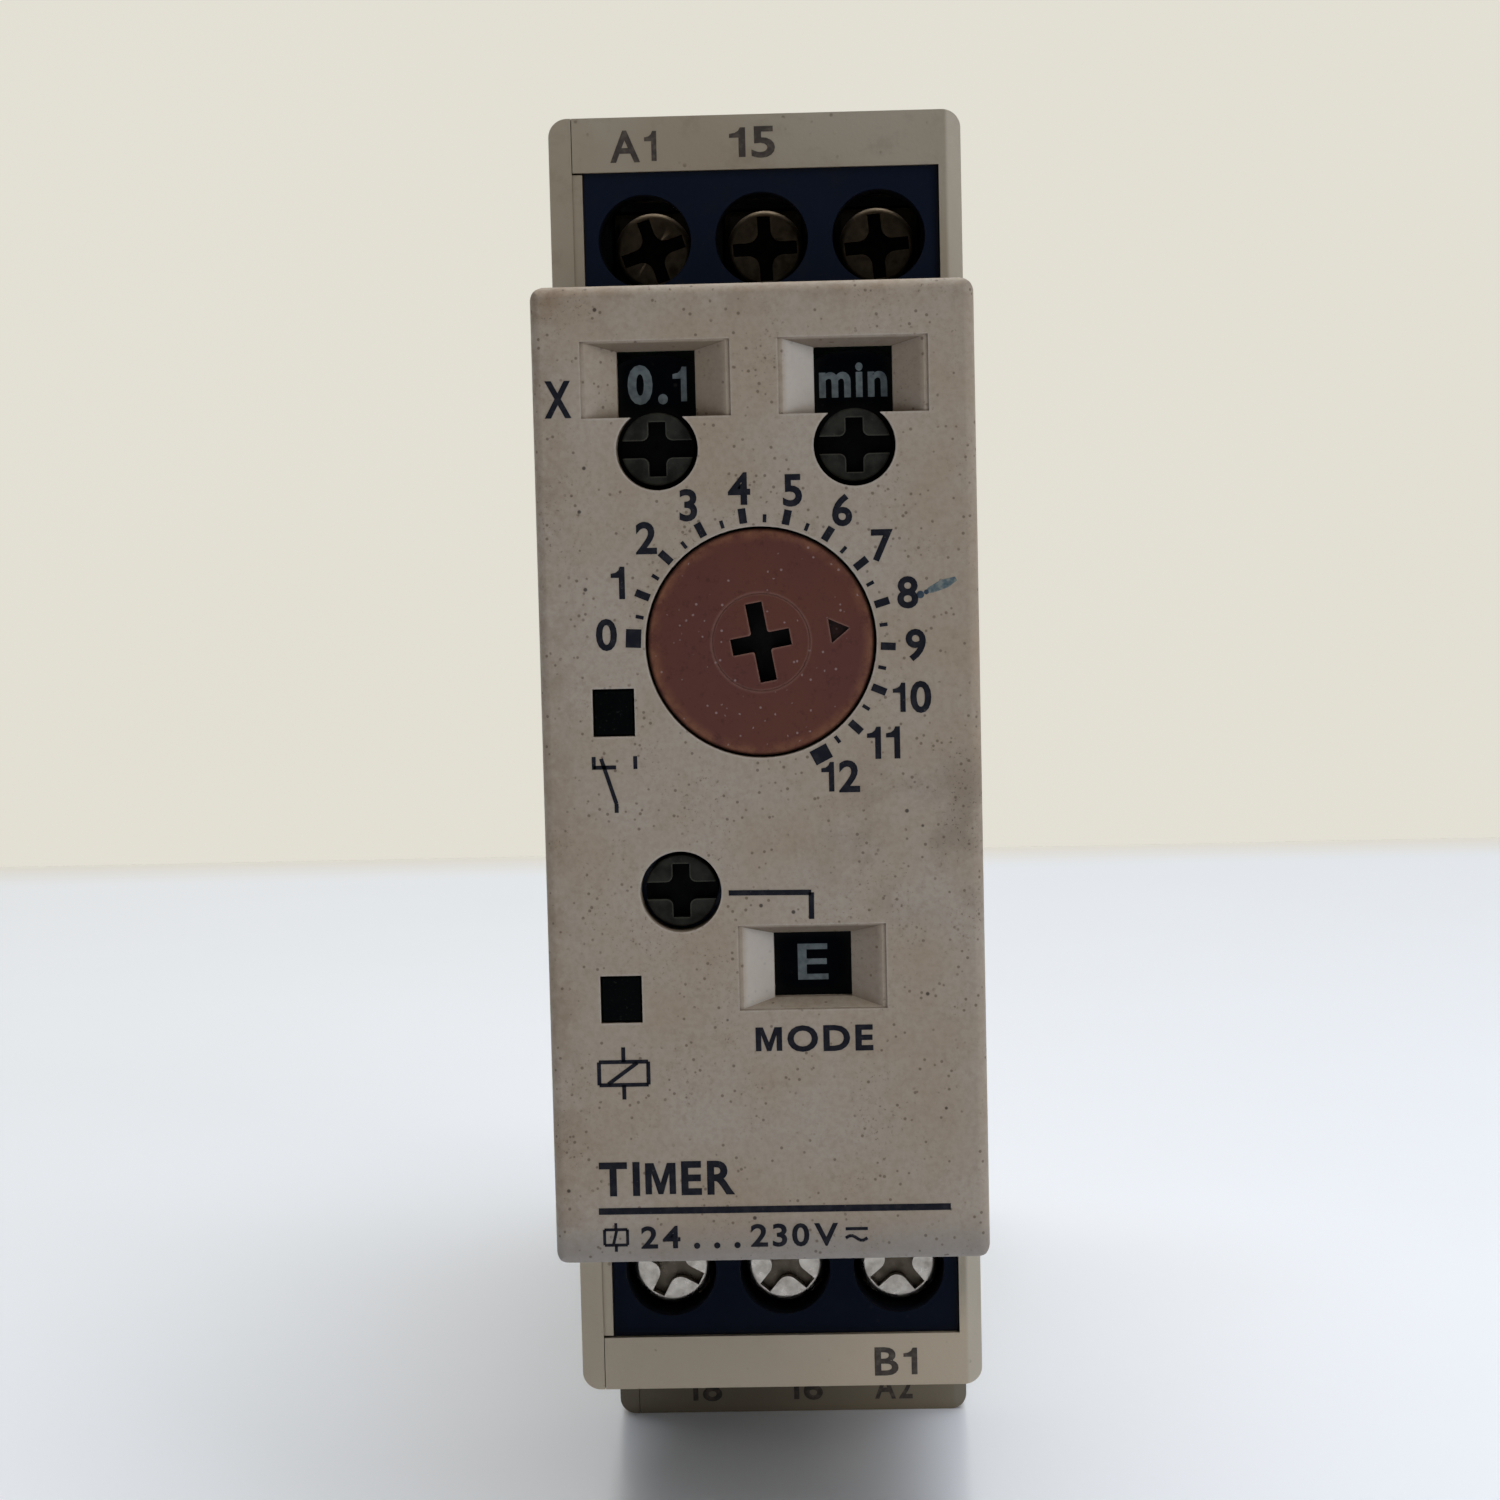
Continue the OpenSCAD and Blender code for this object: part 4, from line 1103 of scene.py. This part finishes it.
def stage_sheet(name, section, half, finish):
    """A smooth sheet that follows a (y, z) section across X, for the stage only."""
    shape = bmesh.new()
    left = [shape.verts.new((-half, y, z)) for y, z in section]
    right = [shape.verts.new((half, y, z)) for y, z in section]
    for k in range(len(section) - 1):
        face = shape.faces.new([left[k], right[k], right[k + 1], left[k + 1]])
        face.smooth = True
    mesh = bpy.data.meshes.new(name)
    shape.to_mesh(mesh)
    shape.free()
    mesh.materials.append(finish.material)
    piece = bpy.data.objects.new(name, mesh)
    bpy.context.scene.collection.objects.link(piece)


def table():
    """A pale table whose far edge is the horizon."""
    far = 0.30
    edge = 0.006
    rounding = [(far + y, z - edge) for y, z in arc((0, 0), edge, 90, 0, 6)]
    section = [(-1.2, 0)] + rounding + [(far + edge, -0.4)]
    f = Finish("table", 0.3, Specular_IOR_Level=0.5)
    side = f.span(f.axis("X"), -0.12, 0.12)
    base = f.mix(side, (0.86, 0.895, 0.97), (0.83, 0.885, 1.0))
    near_edge = f.span(f.axis("Y"), far - 0.03, far + 0.004)
    colour = f.mix(f.times(f.noise(0.03, 4), 0.2), base, (0.74, 0.77, 0.83))
    f.colour(f.mix(f.times(near_edge, 0.9), colour, (0.76, 0.71, 0.62)))
    f.bump(f.noise(0.6 * MM, 3), 0.01 * MM)
    stage_sheet("table", section, 1.6, f)


def wall():
    """A cream wall well behind the table, evenly bright."""
    f = Finish("wall", 0.9, Specular_IOR_Level=0.0)
    tone = f.mix(f.noise(0.5, 2), (0.745, 0.715, 0.625), (0.775, 0.75, 0.67))
    f.colour((0.1, 0.1, 0.1))
    f.feed(f.shader.inputs["Emission Color"], tone)
    f.shader.inputs["Emission Strength"].default_value = 0.97
    stage_sheet("wall", [(1.6, -1.6), (1.6, 2.4)], 3.0, f)


def area_light(name, place, target, size, power, colour=(1, 1, 1)):
    data = bpy.data.lights.new(name, "AREA")
    data.shape = "RECTANGLE"
    data.size, data.size_y = size
    data.energy = power
    data.color = colour
    light = bpy.data.objects.new(name, data)
    bpy.context.scene.collection.objects.link(light)
    light.location = place
    light.rotation_euler = (Vector(target) - Vector(place)).to_track_quat("-Z", "Y").to_euler()


def lights():
    world = bpy.data.worlds.new("studio")
    bpy.context.scene.world = world
    world.use_nodes = True
    background = world.node_tree.nodes["Background"]
    background.inputs["Color"].default_value = (0.96, 0.98, 1.0, 1)
    background.inputs["Strength"].default_value = 0.2
    area_light("window", (0.1, 0.10, 0.75), (0, -0.02, 0.0), (0.8, 0.5), 4.95, (0.95, 0.975, 1.0))
    area_light("room", (0.42, -0.46, 0.42), (0, -0.03, 0.04), (0.3, 0.3), 1.0, (1.0, 0.97, 0.93))


def camera():
    """The view: slightly above the middle, turned and tipped by a few degrees."""
    place = Vector((0.0043, -0.215, 0.0601))
    pitch = math.radians(4.88)
    yaw = math.radians(-1.69)
    roll = math.radians(-1.34)
    forward = Vector((math.sin(yaw) * math.cos(pitch), math.cos(yaw) * math.cos(pitch), -math.sin(pitch)))
    level = forward.cross(Vector((0, 0, 1))).normalized()
    upright = level.cross(forward)
    right = math.cos(roll) * level + math.sin(roll) * upright
    up = -math.sin(roll) * level + math.cos(roll) * upright
    data = bpy.data.cameras.new("view")
    data.lens = 79.2
    data.sensor_width = 36
    data.clip_start = 0.005
    data.clip_end = 10
    view = bpy.data.objects.new("view", data)
    bpy.context.scene.collection.objects.link(view)
    columns = (right, up, -forward)
    turn = Matrix([[columns[c][r] for c in range(3)] for r in range(3)])
    view.matrix_world = Matrix.Translation(place) @ turn.to_4x4()
    bpy.context.scene.camera = view


table()
wall()
lights()
camera()
bpy.context.scene.view_settings.view_transform = "Standard"
bpy.context.scene.view_settings.look = "None"
